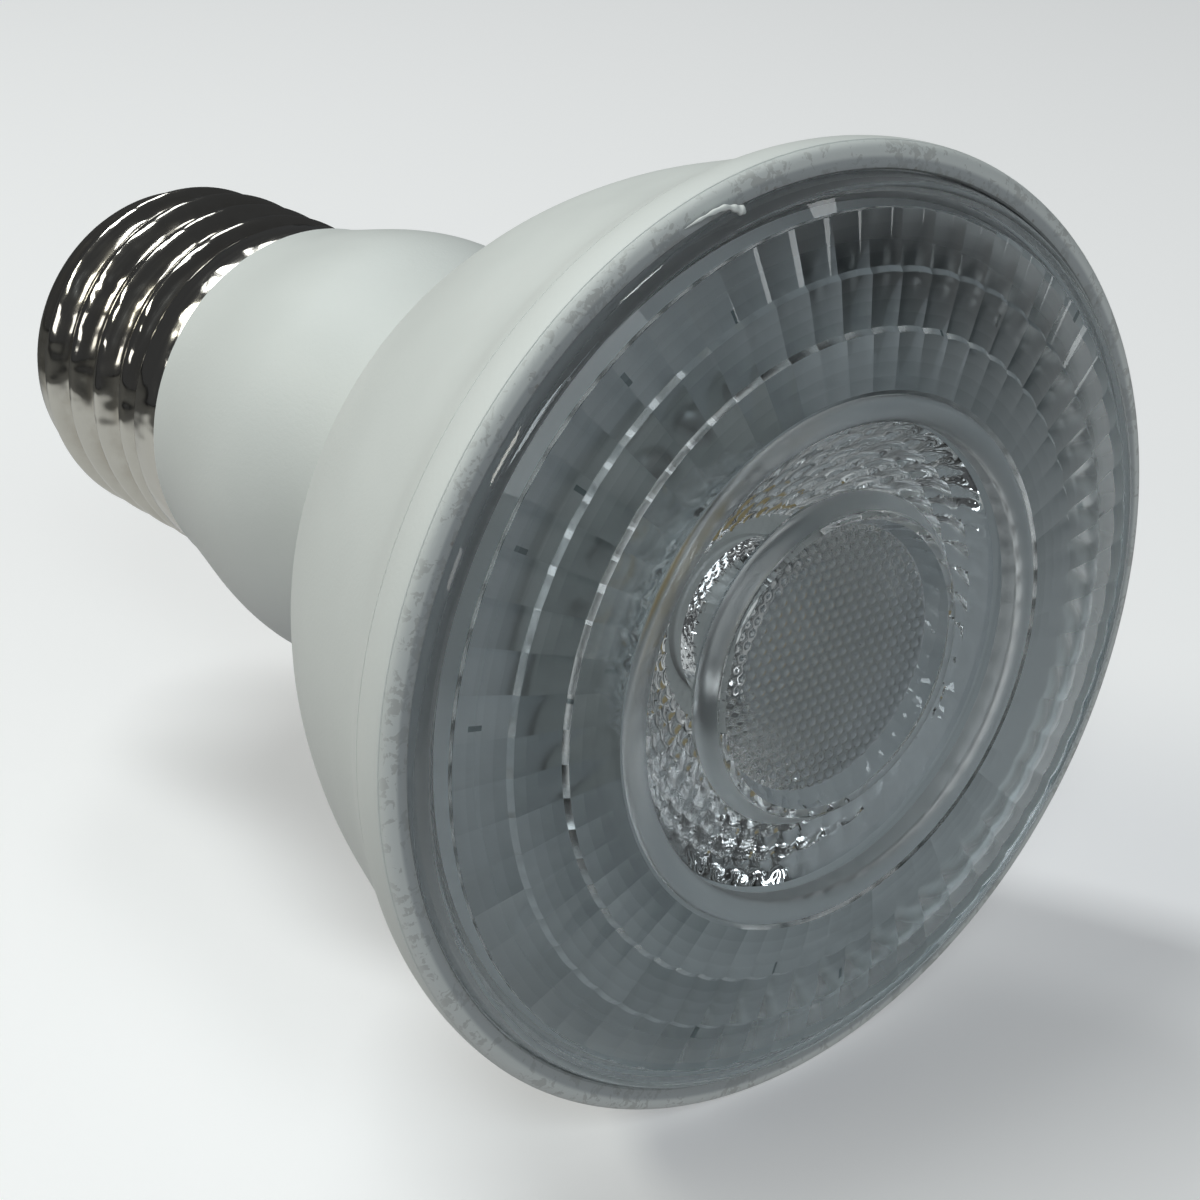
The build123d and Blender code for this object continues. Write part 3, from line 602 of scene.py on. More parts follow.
def white_moulding():
    """A matt white with a slow drift of tone, a fine grain, scuffs that gather at the rim with painted shade
    over them, painted shade over the rim's front face, darker still towards the gap, and specks there."""
    material, tree, shader = finish("white_moulding", Specular_IOR_Level=0.4)
    place = object_place(tree)
    skin = use(tree, skin_group, place, Drift=55.0, Grain=3500.0)
    specks = use(tree, speck_group, place, Scale=1500.0, Amount=0.25, Size=0.3)["Mask"]
    scuffs = use(tree, scuff_group, place, Scale=1600.0, Level=0.54)["Mask"]
    gap = own(tree, "gap_nearness")
    scuffs_and_shade = calc(tree, "MULTIPLY", scuffs, ramp(tree, own(tree, "rim_nearness"), 0.85, 1.0))
    uneven = calc(tree, "ADD", calc(tree, "MULTIPLY", scuffs, 0.5), 0.35)
    darker_near_gap = calc(tree, "MULTIPLY", calc(tree, "POWER", gap, 2.0), uneven)
    colour = mix(tree, skin["Tone"], (0.7, 0.735, 0.715), (0.735, 0.77, 0.75))
    # Real scuffs at the rim, in a grey dark enough to paint shade on the rim as well
    colour = mix(tree, scuffs_and_shade, colour, (0.34, 0.34, 0.32), share=0.42)
    # Painted shade: the rim's front face turns a cool dark grey from the gap outwards, fading at its outer
    # edge
    colour = mix(tree, ramp(tree, gap, 0.0, 0.35), colour, (0.31, 0.34, 0.36), share=0.65)
    # Darker still towards the gap, unevenly
    colour = mix(tree, darker_near_gap, colour, (0.32, 0.32, 0.3), share=0.7)
    colour = mix(tree, calc(tree, "MULTIPLY", specks, gap), colour, (0.22, 0.2, 0.17), share=0.7)
    inner = mix(tree, rays(tree)["Is Diffuse Ray"], (0.84, 0.86, 0.87), black)
    colour = mix(tree, own(tree, "inside"), colour, inner)
    complete(tree, shader, colour, between(tree, skin["Tone"], 0.46, 0.58), skin["Height"], 0.03 * mm)
    return material


white = white_moulding()
dress(housing, white, "white_moulding", "housing")

# %% [markdown]
# The rim has had a knock: near its top a sliver of white plastic has been pushed up and curls in over the
# gap. It could be sculpted from the rim, which would need far more points there. It is a piece of its own:
# a lumpy tube along a bent path, thin at both ends.

# %% Burr on the rim
burr_angle = np.radians((109.4, 107.6, 105.6, 104.0, 102.9, 102.2, 102.5))
burr_reach = rim_radius - mm * np.array((1.09, 1.0, 0.97, 1.03, 1.35, 1.65, 1.8))
burr_rise = rim_h + mm * np.array((0.05, 0.25, 0.4, 0.55, 0.7, 0.8, 0.75))
burr_thickness = mm * np.array((0.0, 0.1, 0.13, 0.17, 0.24, 0.2, 0.0))
burr_rows, burr_columns = 60, 16
lump_size, lump_wave, lump_change = 0.35, 31, 13


def tube(path, thickness, columns):
    """A round tube along a path: at each point a circle of that thickness, square to the path, in two
    directions of which one lies across the lamp's axis."""
    ahead = np.gradient(path, axis=0)
    ahead /= np.linalg.norm(ahead, axis=1, keepdims=True)
    side = np.cross(ahead, (0.0, 1.0, 0.0))
    side /= np.linalg.norm(side, axis=1, keepdims=True)
    over = np.cross(ahead, side)
    turn = round_angles(columns)
    circle = side[:, None] * np.cos(turn)[None, :, None] + over[:, None] * np.sin(turn)[None, :, None]
    return path[:, None] + thickness[:, None, None] * circle


burr_share = np.linspace(0, 1, len(burr_angle))
angle, reach, rise, thickness = (
    smooth_curve(np.column_stack((values, burr_share)), 0, 0, burr_rows)[:, 0]
    for values in (burr_angle, burr_reach, burr_rise, burr_thickness)
)
burr_at = np.linspace(0, 1, burr_rows)
lumps = 1 + lump_size * np.sin(lump_wave * burr_at) * np.sin(lump_change * burr_at + 1)
burr_path = np.column_stack((reach * np.cos(angle), -rise, reach * np.sin(angle)))
burr = surface("rim_burr", tube(burr_path, np.maximum(thickness, 0) * lumps, burr_columns))[0]
dress(burr, white, "white_moulding")

# %% [markdown]
# ## The screw shell
#
# The cap's shell is thin sheet, drawn to a cup and rolled to the round thread of a lamp cap. A Screw
# modifier could sweep a thread, but with an open end that would have to be closed. On the grid the thread
# is a wave in the radius: its phase is h in pitches less the angle in turns, which makes a right-hand
# screw. The wave grows from nothing at the closed end and runs out in the plain skirt.

# %% Thread
thread_pitch = 3.62 * mm
thread_depth = 1.0 * mm
root_radius = crest_radius - thread_depth
shell_corner = 2.2 * mm
skirt_start_h = cap_h - 3.6 * mm
skirt_blend = 1.2 * mm
thread_start_h = shell_end_h + 3.0 * mm
thread_fade = 2.6 * mm
shell_columns = 240
thread_rows = 120


def thread_wave(h, angle):
    """The share of the thread's depth at h and an angle: a cosine of the phase, lifted to 0 to 1, that
    fades in from the round corner of the closed end."""
    phase = (h - thread_start_h) / thread_pitch - angle / (2 * pi)
    fade_in = eased(np.clip((h - shell_end_h - shell_corner) / thread_fade, 0, 1))
    return fade_in * (0.5 + 0.5 * np.cos(2 * pi * phase))


thread_h = np.linspace(shell_end_h + shell_corner, skirt_start_h, thread_rows)
skirt_share = eased(np.clip((thread_h - skirt_start_h + skirt_blend) / skirt_blend, 0, 1))
wave = thread_wave(thread_h[:, None], round_angles(shell_columns)[None, :])
thread_r = root_radius + thread_depth * np.maximum(wave, skirt_share[:, None])
print("thread turns:", round((skirt_start_h - thread_start_h) / thread_pitch, 2))

# %% Shell surface
shell_wall = 0.4 * mm
skirt_edge = 0.12 * mm
shell_mouth_radius = root_radius - shell_corner - 0.5 * mm
corner_rows, inner_corner_rows = 9, 7

corner_centre = (root_radius - shell_corner, shell_end_h + shell_corner)
closed_end = outline(
    (shell_mouth_radius, shell_end_h + shell_wall), (shell_mouth_radius, shell_end_h),
    arc(corner_centre, shell_corner, -90, 0, corner_rows)[:-1],
)
skirt_and_inside = outline(
    (crest_radius, cap_h - skirt_edge), (crest_radius - skirt_edge, cap_h),
    (crest_radius - shell_wall, cap_h), (crest_radius - shell_wall, skirt_start_h),
    (root_radius - shell_wall, skirt_start_h - skirt_blend),
    arc(corner_centre, shell_corner - shell_wall, 0, -90, inner_corner_rows),
)
closed_r, closed_h = all_round(closed_end, shell_columns)
skirt_r, skirt_h = all_round(skirt_and_inside, shell_columns)
shell_r = np.vstack((closed_r, thread_r, skirt_r))
shell_h = np.vstack((closed_h, np.repeat(thread_h[:, None], shell_columns, axis=1), skirt_h))
shell, shell_used = surface("threaded_shell", turned(shell_r, shell_h), ring=True, sharp=50.0)
groove = np.clip((crest_radius - shell_r) / thread_depth, 0, 1)
paint(shell, "groove", groove.ravel()[shell_used])

# %% [markdown]
# Nickel plate is a metal with a low roughness, and what it mirrors makes its look. On a worn cap that is
# broken up: the sheet is a little dented, drawing has left fine marks round the axis, and tarnish stays in
# the grooves. The marks are the skin group again, squeezed along the axis and drawn out across it.

# %% Nickel finish


def nickel_plate():
    """Bright plate: fine drawing marks round the axis, tarnish that stays in the grooves, a few specks."""
    material, tree, shader = finish("nickel_plate", Metallic=1.0)
    place = object_place(tree)
    squeezed = node(tree, "ShaderNodeMapping", Scale=(0.12, 4.0, 0.12))
    tree.links.new(place, squeezed.inputs["Vector"])
    marks = use(tree, skin_group, squeezed.outputs["Vector"], Drift=400.0, Grain=1500.0)
    clouds = use(tree, skin_group, place, Drift=330.0, Grain=900.0)
    specks = use(tree, speck_group, place, Scale=1500.0, Amount=0.06, Size=0.2)["Mask"]
    tarnish = calc(tree, "MULTIPLY", own(tree, "groove"), clouds["Tone"])
    colour = mix(tree, tarnish, (0.66, 0.635, 0.58), (0.36, 0.32, 0.25), share=0.6)
    colour = mix(tree, specks, colour, (0.2, 0.17, 0.13), share=0.5)
    dulled = calc(tree, "MULTIPLY", tarnish, 0.12)
    rough = calc(tree, "ADD", between(tree, marks["Tone"], 0.06, 0.14), dulled)
    dents = node(tree, "ShaderNodeTexNoise", Scale=420.0, Detail=1.0, Roughness=0.45)
    tree.links.new(place, dents.inputs["Vector"])
    fine = calc(tree, "MULTIPLY", marks["Height"], 0.02)
    complete(tree, shader, colour, rough, calc(tree, "ADD", dents.outputs["Fac"], fine), 0.5 * mm)
    return material


dress(shell, nickel_plate(), "nickel_plate", "screw_shell")

# %% [markdown]
# ## The cap's insulator and its contact
#
# A dark glassy cone closes the shell, and a brass contact with a smear of solder sits in its tip. Cones
# and cylinders from the Add menu could stand for them, but both are turned from short outlines, like the
# pieces before, and so they keep their small edges and fit the shell's mouth.

# %% Insulator and contact
insulator_low, insulator_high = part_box("cap_insulator")
insulator_tip_h = -insulator_high.y
insulator_end_h = -insulator_low.y
tip_radius, tip_edge_radius, tip_edge = 5.3 * mm, 5.6 * mm, 0.25 * mm
insulator_neck_radius = shell_mouth_radius - 0.1 * mm
insulator_flange_radius = 9.9 * mm
stem_hole = 1.8 * mm
insulator_columns = 144
contact_radius, contact_stem_radius = 4.8 * mm, 1.7 * mm
contact_edge_h = insulator_tip_h - 0.5 * mm
contact_back_h = -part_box("centre_contact")[0].y
button_rows, contact_columns = 14, 96

insulator_outline = outline(
    (stem_hole, insulator_tip_h), (tip_radius, insulator_tip_h),
    (tip_edge_radius, insulator_tip_h + tip_edge), (insulator_neck_radius, shell_end_h - shell_wall),
    (insulator_neck_radius, shell_end_h + shell_wall), (insulator_flange_radius, shell_end_h + shell_wall),
    (insulator_flange_radius, insulator_end_h), (stem_hole, insulator_end_h),
)
insulator = surface("insulator_cone", turned(*all_round(insulator_outline, insulator_columns)), ring=True)[0]
button_r = np.linspace(0, contact_radius, button_rows)
button_h = contact_edge_h * (button_r / contact_radius) ** 2
contact_outline = outline(
    np.column_stack((button_r, button_h)), (contact_radius, insulator_tip_h),
    (contact_stem_radius, insulator_tip_h), (contact_stem_radius, contact_back_h), (0, contact_back_h),
)
contact = surface("contact_button", turned(*all_round(contact_outline, contact_columns)))[0]

# %% [markdown]
# The insulator is dark glass, and dust has dulled its gloss. The contact is brass with solder on it, so its
# colour goes between two metals in patches. Two materials on two sets of faces would show a hard border
# where the solder ends. A mask in one material lets it run out.

# %% Insulator and contact finishes


def glassy_black():
    """Dark glass with a soft gloss and fine dust."""
    material, tree, shader = finish("cap_glass")
    place = object_place(tree)
    dust = use(tree, skin_group, place, Drift=500.0, Grain=2500.0)
    specks = use(tree, speck_group, place, Scale=800.0, Amount=0.15, Size=0.2)["Mask"]
    colour = mix(tree, dust["Tone"], (0.018, 0.018, 0.022), (0.045, 0.043, 0.042))
    colour = mix(tree, specks, colour, (0.25, 0.24, 0.22), share=0.5)
    complete(tree, shader, colour, between(tree, dust["Tone"], 0.12, 0.32), dust["Height"], 0.02 * mm, 0.4)
    return material


def dull_brass():
    """Brass under a smear of solder: two metals in patches, with scuffs from the socket's spring."""
    material, tree, shader = finish("brass", Metallic=1.0)
    place = object_place(tree)
    patches = use(tree, skin_group, place, Drift=420.0, Grain=2500.0)
    scuffs = use(tree, scuff_group, place, Scale=1400.0, Level=0.5)["Mask"]
    colour = mix(tree, patches["Tone"], (0.6, 0.57, 0.5), (0.7, 0.55, 0.3))
    colour = mix(tree, scuffs, colour, (0.82, 0.78, 0.68), share=0.5)
    complete(tree, shader, colour, between(tree, patches["Tone"], 0.42, 0.24), patches["Height"], 0.04 * mm)
    return material


dress(insulator, glassy_black(), "cap_glass", "cap_insulator")
dress(contact, dull_brass(), "brass", "centre_contact")

# %% [markdown]
# ## The lens
#
# The lens is one clear moulding and the piece that gives the lamp its face. From outside to inside it has
# a flange with a bead, three rings of facets with a small step between them, a raised lip, a sunken window
# and a boss whose disc holds a field of tiny lenses. Behind the window stands a collimator, a solid cone
# with a pocket for the light source and a pillowed wall that turns the light by total reflection. Glass
# has to be one closed surface, or light would bend wrongly, so booleans of many parts would be a risk. One
# outline runs from the pocket's middle down the pocket, up the cone, round the flange and over the front
# to the middle again. It is kept in named runs, so that later steps can find the rows of each.

# %% Lens sizes
facet_count, columns_per_facet, facet_rows = 60, 8, 5
lens_columns = facet_count * columns_per_facet
lens_wall = 2.2 * mm
flange_width, seat_gap, groove_depth = 2.1 * mm, 0.06 * mm, 0.35 * mm
bead = (lens_radius - 0.7 * mm, front_h - 2.8 * mm)
field = (lens_radius - 1.8 * mm, front_h - 2.25 * mm)
ring_two = (field[0] - 3.3 * mm, front_h - 1.25 * mm)
ring_three = (ring_two[0] - 3.5 * mm, front_h - 0.6 * mm)
facet_ledge, ring_step = 0.3 * mm, 0.3 * mm
lip_radius, lip_width, lip_height, lip_foot = 17.2 * mm, 1.7 * mm, 0.45 * mm, 0.3 * mm
last_ring_h = front_h - 0.6 * lip_height
window_h = front_h - 1.5 * mm
disc_radius, disc_rim, boss_slope = 9.9 * mm, 0.5 * mm, 1.1 * mm
disc_h = front_h - 0.25 * mm
disc_floor_h = disc_h - 1.4 * mm
disc_floor_radius = disc_radius - disc_rim - 0.7 * mm
micro_step = 0.13 * mm
cone_top = (lip_radius - 1.8 * mm, front_h - 2.9 * mm)
cone_end_radius = 7.2 * mm
pillow_rows, rows_per_pillow = 7, 6
cone_rows = pillow_rows * rows_per_pillow
pocket_radius, pocket_top_radius = 5.9 * mm, 5.0 * mm
pocket_h, pocket_dome = cone_end_h + 6.1 * mm, 1.2 * mm
dome_rows, bead_rows, lip_rows, boss_rows = 8, 9, 25, 9
bead_sweep = 80
print("collimator length in mm:", round((cone_top[1] - cone_end_h) / mm, 2))

# %% Back and edge of the lens
dome_r = np.linspace(0, pocket_top_radius, dome_rows)
dome_h = pocket_h - pocket_dome * (1 - (dome_r / pocket_top_radius) ** 2)
pocket_run = outline(
    np.column_stack((dome_r, dome_h)), (pocket_radius, cone_end_h), (cone_end_radius, cone_end_h),
)
cone_run = np.linspace((cone_end_radius, cone_end_h), cone_top, cone_rows + 1)[1:]
back_run = outline(
    (lip_radius, cone_top[1]),
    (ring_three[0], ring_three[1] - lens_wall), (ring_two[0], ring_two[1] - lens_wall),
)
bead_turn = np.radians(np.linspace(0, bead_sweep, bead_rows))
bead_base_h = rim_h - groove_depth
bead_run = np.column_stack((
    bead[0] + (lens_radius - bead[0]) * np.cos(bead_turn),
    bead_base_h + (bead[1] - bead_base_h) * np.sin(bead_turn),
))
flange_run = outline(
    (lens_radius - flange_width, field[1] - lens_wall), (lens_radius - flange_width, lens_seat_h + seat_gap),
    (lens_radius, lens_seat_h + seat_gap), bead_run[0],
)
edge_run = outline(
    bead_run[1:], bead, (bead[0] - groove_depth, bead[1] - groove_depth),
    (field[0], field[1] - groove_depth), field,
)
print("rows of back and edge:", len(pocket_run), len(cone_run), len(back_run), len(flange_run), len(edge_run))

# %% Front of the lens
ring_edges = {
    "outer ring": (field, (ring_two[0], ring_two[1] - ring_step)),
    "middle ring": ((ring_two[0] - facet_ledge, ring_two[1]), (ring_three[0], ring_three[1] - ring_step)),
    "inner ring": ((ring_three[0] - facet_ledge, ring_three[1]), (lip_radius + facet_ledge, last_ring_h)),
}
ring_runs = {name: np.linspace(*edges, facet_rows) for name, edges in ring_edges.items()}
lip_turn = np.radians(np.linspace(0, 180, lip_rows))
lip_arc = np.column_stack((
    lip_radius - 0.5 * lip_width + 0.5 * lip_width * np.cos(lip_turn),
    front_h - lip_height + lip_height * np.sin(lip_turn),
))
lip_run = outline(lip_arc, (lip_radius - lip_width, window_h))
window_run = outline((lip_radius - lip_width - lip_foot, window_h))
boss_share = np.linspace(0, 1, boss_rows)
boss_run = np.column_stack((
    disc_radius + boss_slope * (1 - boss_share),
    window_h + (disc_h - window_h) * eased(boss_share),
))
disc_run = outline((disc_radius - disc_rim, disc_h), (disc_floor_radius, disc_floor_h))
disc_floor_r = np.linspace(disc_floor_radius, 0, int(disc_floor_radius / micro_step))[1:]
disc_floor_run = np.column_stack((disc_floor_r, np.full(len(disc_floor_r), disc_floor_h)))
print("rows of lip, boss and disc floor:", len(lip_run), len(boss_run), len(disc_floor_run))

# %% Lens outline
lens_runs = {
    "pocket": pocket_run, "cone": cone_run, "back": back_run, "flange": flange_run, "edge": edge_run,
    **ring_runs,
    "lip": lip_run, "window": window_run, "boss": boss_run, "disc": disc_run, "disc floor": disc_floor_run,
}
lens_rows = outline(*lens_runs.values())
run_ends = np.cumsum([len(run) for run in lens_runs.values()])
rows_of = {name: slice(end - len(lens_runs[name]), end) for name, end in zip(lens_runs, run_ends)}
lens_r, lens_h = all_round(lens_rows, lens_columns)
print("lens rows:", len(lens_rows))

# %% [markdown]
# A facet is a shallow pillow: across its width the radius and h fall off by a parabola, so that two
# neighbours meet in a sharp crease. In the inner ring the depth runs out towards the round lip.

# %% Facets
facet_bulge, facet_sag = 0.1 * mm, 0.14 * mm

across_facet = 2 * ((np.arange(lens_columns) / columns_per_facet) % 1) - 1
for name, depth_at_end in (("outer ring", 1.0), ("middle ring", 1.0), ("inner ring", 0.0)):
    depth = np.linspace(1.0, depth_at_end, facet_rows)[:, None]
    lens_r[rows_of[name]] -= facet_bulge * depth * across_facet**2
    lens_h[rows_of[name]] -= facet_sag * depth * across_facet**2
print("facets:", facet_count * len(ring_edges))

# %% [markdown]
# The collimator's pillows stand in slanting columns, and each is pressed in a little more or less than the
# next. That breaks up what shows through the window, as on the real lens.

# %% Collimator pillows
pillow_count = 44
pillow_depth = 0.18 * mm
pillow_slant = 0.55
pillow_uneven = (0.6, 1.4)
rise_share = 0.7
fade_end, fade_length = 0.98, 0.1

cone_step = np.arange(1, cone_rows + 1)[:, None] / rows_per_pillow
pillow_turn = np.arange(lens_columns) * pillow_count / lens_columns + pillow_slant * cone_step
across_pillow = 2 * (pillow_turn % 1) - 1
up_pillow = 2 * (cone_step % 1) - 1
cone_fade = np.clip((fade_end * pillow_rows - cone_step) / (fade_length * pillow_rows), 0, 1)
pressed = np.random.default_rng(5).uniform(*pillow_uneven, (pillow_rows + 1, pillow_count))
pillow_share = pressed[np.floor(cone_step).astype(int), np.floor(pillow_turn).astype(int) % pillow_count]
pillow_shape = across_pillow**2 + rise_share * up_pillow**2
lens_r[rows_of["cone"]] -= pillow_depth * cone_fade * pillow_share * pillow_shape
print("pillows:", pillow_count * pillow_rows)

# %% [markdown]
# The disc's floor is a honeycomb of small round lenses. Copies of one lens, set by an array or by geometry
# nodes, would have to be joined to the floor. A sum of three waves gives the same field as a height.

# %% Micro lenses
micro_pitch = 0.8 * mm
micro_height = 0.16 * mm


def micro_lenses(x, z):
    """The height of a honeycomb of small round lenses: the mean of three cosines whose directions are 60
    degrees apart, which is highest at the middle of each lens."""
    wave_number = 2 * pi / (micro_pitch * cos(pi / 6))
    turns = np.radians((30, 90, 150))
    waves = [np.cos(wave_number * (x * cos(turn) + z * sin(turn))) for turn in turns]
    return micro_height * sum(waves) / len(waves)


lens_x = lens_r * np.cos(round_angles(lens_columns))
lens_z = lens_r * np.sin(round_angles(lens_columns))
disc_floor = rows_of["disc floor"]
lens_h[disc_floor] += micro_lenses(lens_x[disc_floor], lens_z[disc_floor])
lens_h[-1] = lens_h[-1, 0]
lens, lens_used = surface("faceted_lens", turned(lens_r, lens_h), sharp=14.0, soft_row=disc_floor.start)

# %% [markdown]
# The clear finish reads four values from the mesh. The first three are for points: the first is 1 in the
# valleys between the micro lenses and paints shade there, clarity is 0 where the painted light and shade of
# the facets count and 1 where the lens is clear, and frost says how rough the surface is, with smears from
# handling. Noise nodes could make the smears too, but on glass each ray meets the finish many times, and a
# stored value is read faster.

# %% Painted shade in the valleys, clarity and frost
# The three waves run from half a height under the disc's floor to one height over it
wave_range = 1.5
edge_margin = 0.1 * mm
boss_clarity = 0.3
run_frost = {"back": 0.3, "flange": 1.0, "lip": 0.6}
slope_frost = 0.6
smear_waves = ((310, 140, 0.0), (170, -260, 1.0))
smear_level, smear_frost = 0.55, 0.25

painted_valley_shade = np.zeros_like(lens_h)
# Painted shade: 0 on the tops of the micro lenses and 1 at the bottom of the valleys between them
painted_valley_shade[disc_floor] = (disc_floor_h + micro_height - lens_h[disc_floor]) / (wave_range * micro_height)
paint(lens, "painted_valley_shade", painted_valley_shade.ravel()[lens_used])
past_field = lens_r > field[0] + edge_margin
clarity = np.clip((lip_radius - lens_r) / (lip_radius - disc_radius), 0, 1) + past_field
# A low clarity on the boss's slope lets its painted shade show
clarity[rows_of["boss"]] = boss_clarity
paint(lens, "clarity", clarity.ravel()[lens_used])
frost = np.zeros_like(lens_h)
for name, amount in run_frost.items():
    frost[rows_of[name]] = amount
frost[rows_of["boss"]][1:-1] = slope_frost
one_way, other_way = (np.sin(a * lens_x + b * lens_z + shift) for a, b, shift in smear_waves)
frost += smear_frost * np.clip(one_way * other_way - smear_level, 0, 1)
paint(lens, "frost", frost.ravel()[lens_used])
print("mean frost:", round(float(frost.mean()), 3))

# %% [markdown]
# The fourth value is a tone for each face, and it is mostly painted light and shade. On the real lens each
# facet shows another part of the inside, dark or pale, and the inside of this model is plainer. So each facet
# gets a painted tone: paler on the lower right of its ring and darker on the upper left, a share of chance,
# which it has in part from its neighbour, for the darker or paler view through it, and a painted shading
# slope within the facet. Each ring's ledge gets a painted glint, the boss's slope painted shade, and a few
# faces are dark specks of dirt. A tone for each point would run over the creases and blur them.

# %% Painted light and shade of the facets
ring_painted_tones = {"outer ring": (0.6, 0.4), "middle ring": (0.0, 1.1), "inner ring": (-0.05, 1.1)}
painted_light_angle = radians(-25)
chance_share, neighbour_share = 0.35, 0.35
inward_shade_slope, across_shade_slope = 0.2, 0.12
clear_tone, ledge_glint_tone, boss_shade_tone, darkest_tone = 1.0, 0.9, 0.25, 0.24
speck_count, speck_tone = 16, 0.1

facet_of = np.arange(lens_columns) // columns_per_facet
facet_angle = (np.arange(facet_count) + 0.5) * 2 * pi / facet_count
# Painted light and shade: each ring is paler on its lower right and darker on its upper left
painted_lit_side = 0.5 + 0.5 * np.cos(facet_angle - painted_light_angle)
chance = np.random.default_rng(11).uniform(-1, 1, (len(ring_painted_tones), facet_count))
chance = (1 - neighbour_share) * chance + neighbour_share * np.roll(chance, 1, axis=1)
across_face = (2 * (np.arange(lens_columns) % columns_per_facet) + 1) / columns_per_facet - 1
# Painted shading: each ring is lighter at its outer edge and darker at its inner one, and each facet shades
# across its width
inward_shade = np.linspace(inward_shade_slope, -inward_shade_slope, facet_rows - 1)[:, None]
facet_light_and_specks = np.full((len(lens_rows) - 1, lens_columns), clear_tone)
for (name, (base, pale)), luck in zip(ring_painted_tones.items(), chance):
    # The chance share paints a darker or paler view through each facet
    tone = base + pale * painted_lit_side + chance_share * luck
    last = rows_of[name].stop - 1
    facet_light_and_specks[rows_of[name].start:last] = tone[facet_of] + inward_shade - across_shade_slope * across_face
    # A painted glint on each ring's ledge
    facet_light_and_specks[last] = ledge_glint_tone
# Painted shade on the boss's slope
facet_light_and_specks[rows_of["boss"]] = boss_shade_tone
facet_light_and_specks = darkest_tone + (1 - darkest_tone) * np.clip(facet_light_and_specks, 0, 1)
draw = np.random.default_rng(23)
speck_rows = draw.integers(rows_of["outer ring"].start, rows_of["inner ring"].stop, speck_count)
speck_columns = draw.integers(0, lens_columns, speck_count)
facet_light_and_specks[speck_rows, speck_columns] = speck_tone
# The faces at the two closed ends come last in the mesh
paint(lens, "facet_light_and_specks", np.concatenate((facet_light_and_specks[1:-1].ravel(), facet_light_and_specks[0], facet_light_and_specks[-1])), "FACE")
print("mean tone:", round(float(facet_light_and_specks.mean()), 3))

# %% [markdown]
# Clear acrylic is a Principled shader with full transmission and the acrylic's index of refraction. Light
# that goes through such a shader to the pieces behind it would have to be found by chance, as a caustic.
# So for shadow rays the lens is simply transparent, and for bounced rays it is black and ends them.

# %% Clear finish


def clear_acrylic():
    """Clear acrylic whose tint goes from the painted light and shade of the facets to clear, with painted
    shade in the valleys between the micro lenses, and whose roughness is half the frost."""
    material, tree, shader = finish("clear_lens", Transmission_Weight=1.0, IOR=1.49)
    ray = rays(tree)
    # The painted light and shade of the facets, with dark specks of dirt, as a tint
    tint = mix(tree, own(tree, "facet_light_and_specks"), (0.03, 0.07, 0.08), (0.95, 0.99, 1.0))
    tint = mix(tree, own(tree, "clarity"), tint, (0.98, 0.99, 0.995))
    # Painted shade in the valleys between the micro lenses
    tint = mix(tree, own(tree, "painted_valley_shade"), tint, (0.05, 0.055, 0.057), share=0.7)
    tree.links.new(tint, shader.inputs["Base Color"])
    tree.links.new(calc(tree, "MULTIPLY", own(tree, "frost"), 0.5), shader.inputs["Roughness"])
    passed = node(tree, "ShaderNodeBsdfTransparent")
    let_in = mix(tree, own(tree, "clarity"), (0.93, 0.95, 0.955), (0.98, 0.99, 0.99))
    let_in = mix(tree, ray["Is Diffuse Ray"], let_in, black)
    tree.links.new(let_in, passed.inputs["Color"])
    straight = calc(tree, "MAXIMUM", ray["Is Shadow Ray"], ray["Is Diffuse Ray"])
    swap(tree, straight, shader.outputs["BSDF"], passed.outputs["BSDF"])
    return material


dress(lens, clear_acrylic(), "clear_lens", "lens")

# %% [markdown]
# ## What shows through the lens, and what is hidden
#
# The other pieces keep their solids and only get a finish. The heat sink, the board with the light source
# and its screws show through the lens. The driver is hidden in the collar, but it is finished too. Their
# finishes could each be built by hand. They share one function instead: two near tones, a grain and specks,
# all black for bounced rays, which end here as they do on the inside of the housing.

# %% Finishes of the inner pieces


def plain_finish(slot, dark, light, roughness, metallic=0.0):
    """Two near tones in patches, a fine grain as relief, and a scatter of darker specks."""
    material, tree, shader = finish(slot, Metallic=metallic)
    place = object_place(tree)
    skin = use(tree, skin_group, place, Drift=350.0, Grain=2500.0)
    specks = use(tree, speck_group, place, Scale=900.0, Amount=0.05, Size=0.2)["Mask"]
    colour = mix(tree, skin["Tone"], dark, light)
    colour = mix(tree, specks, colour, tuple(0.4 * part for part in dark), share=0.35)
    colour = mix(tree, rays(tree)["Is Diffuse Ray"], colour, black)
    rough = between(tree, skin["Tone"], roughness - 0.06, roughness + 0.06)
    complete(tree, shader, colour, rough, skin["Height"], 0.02 * mm)
    return material


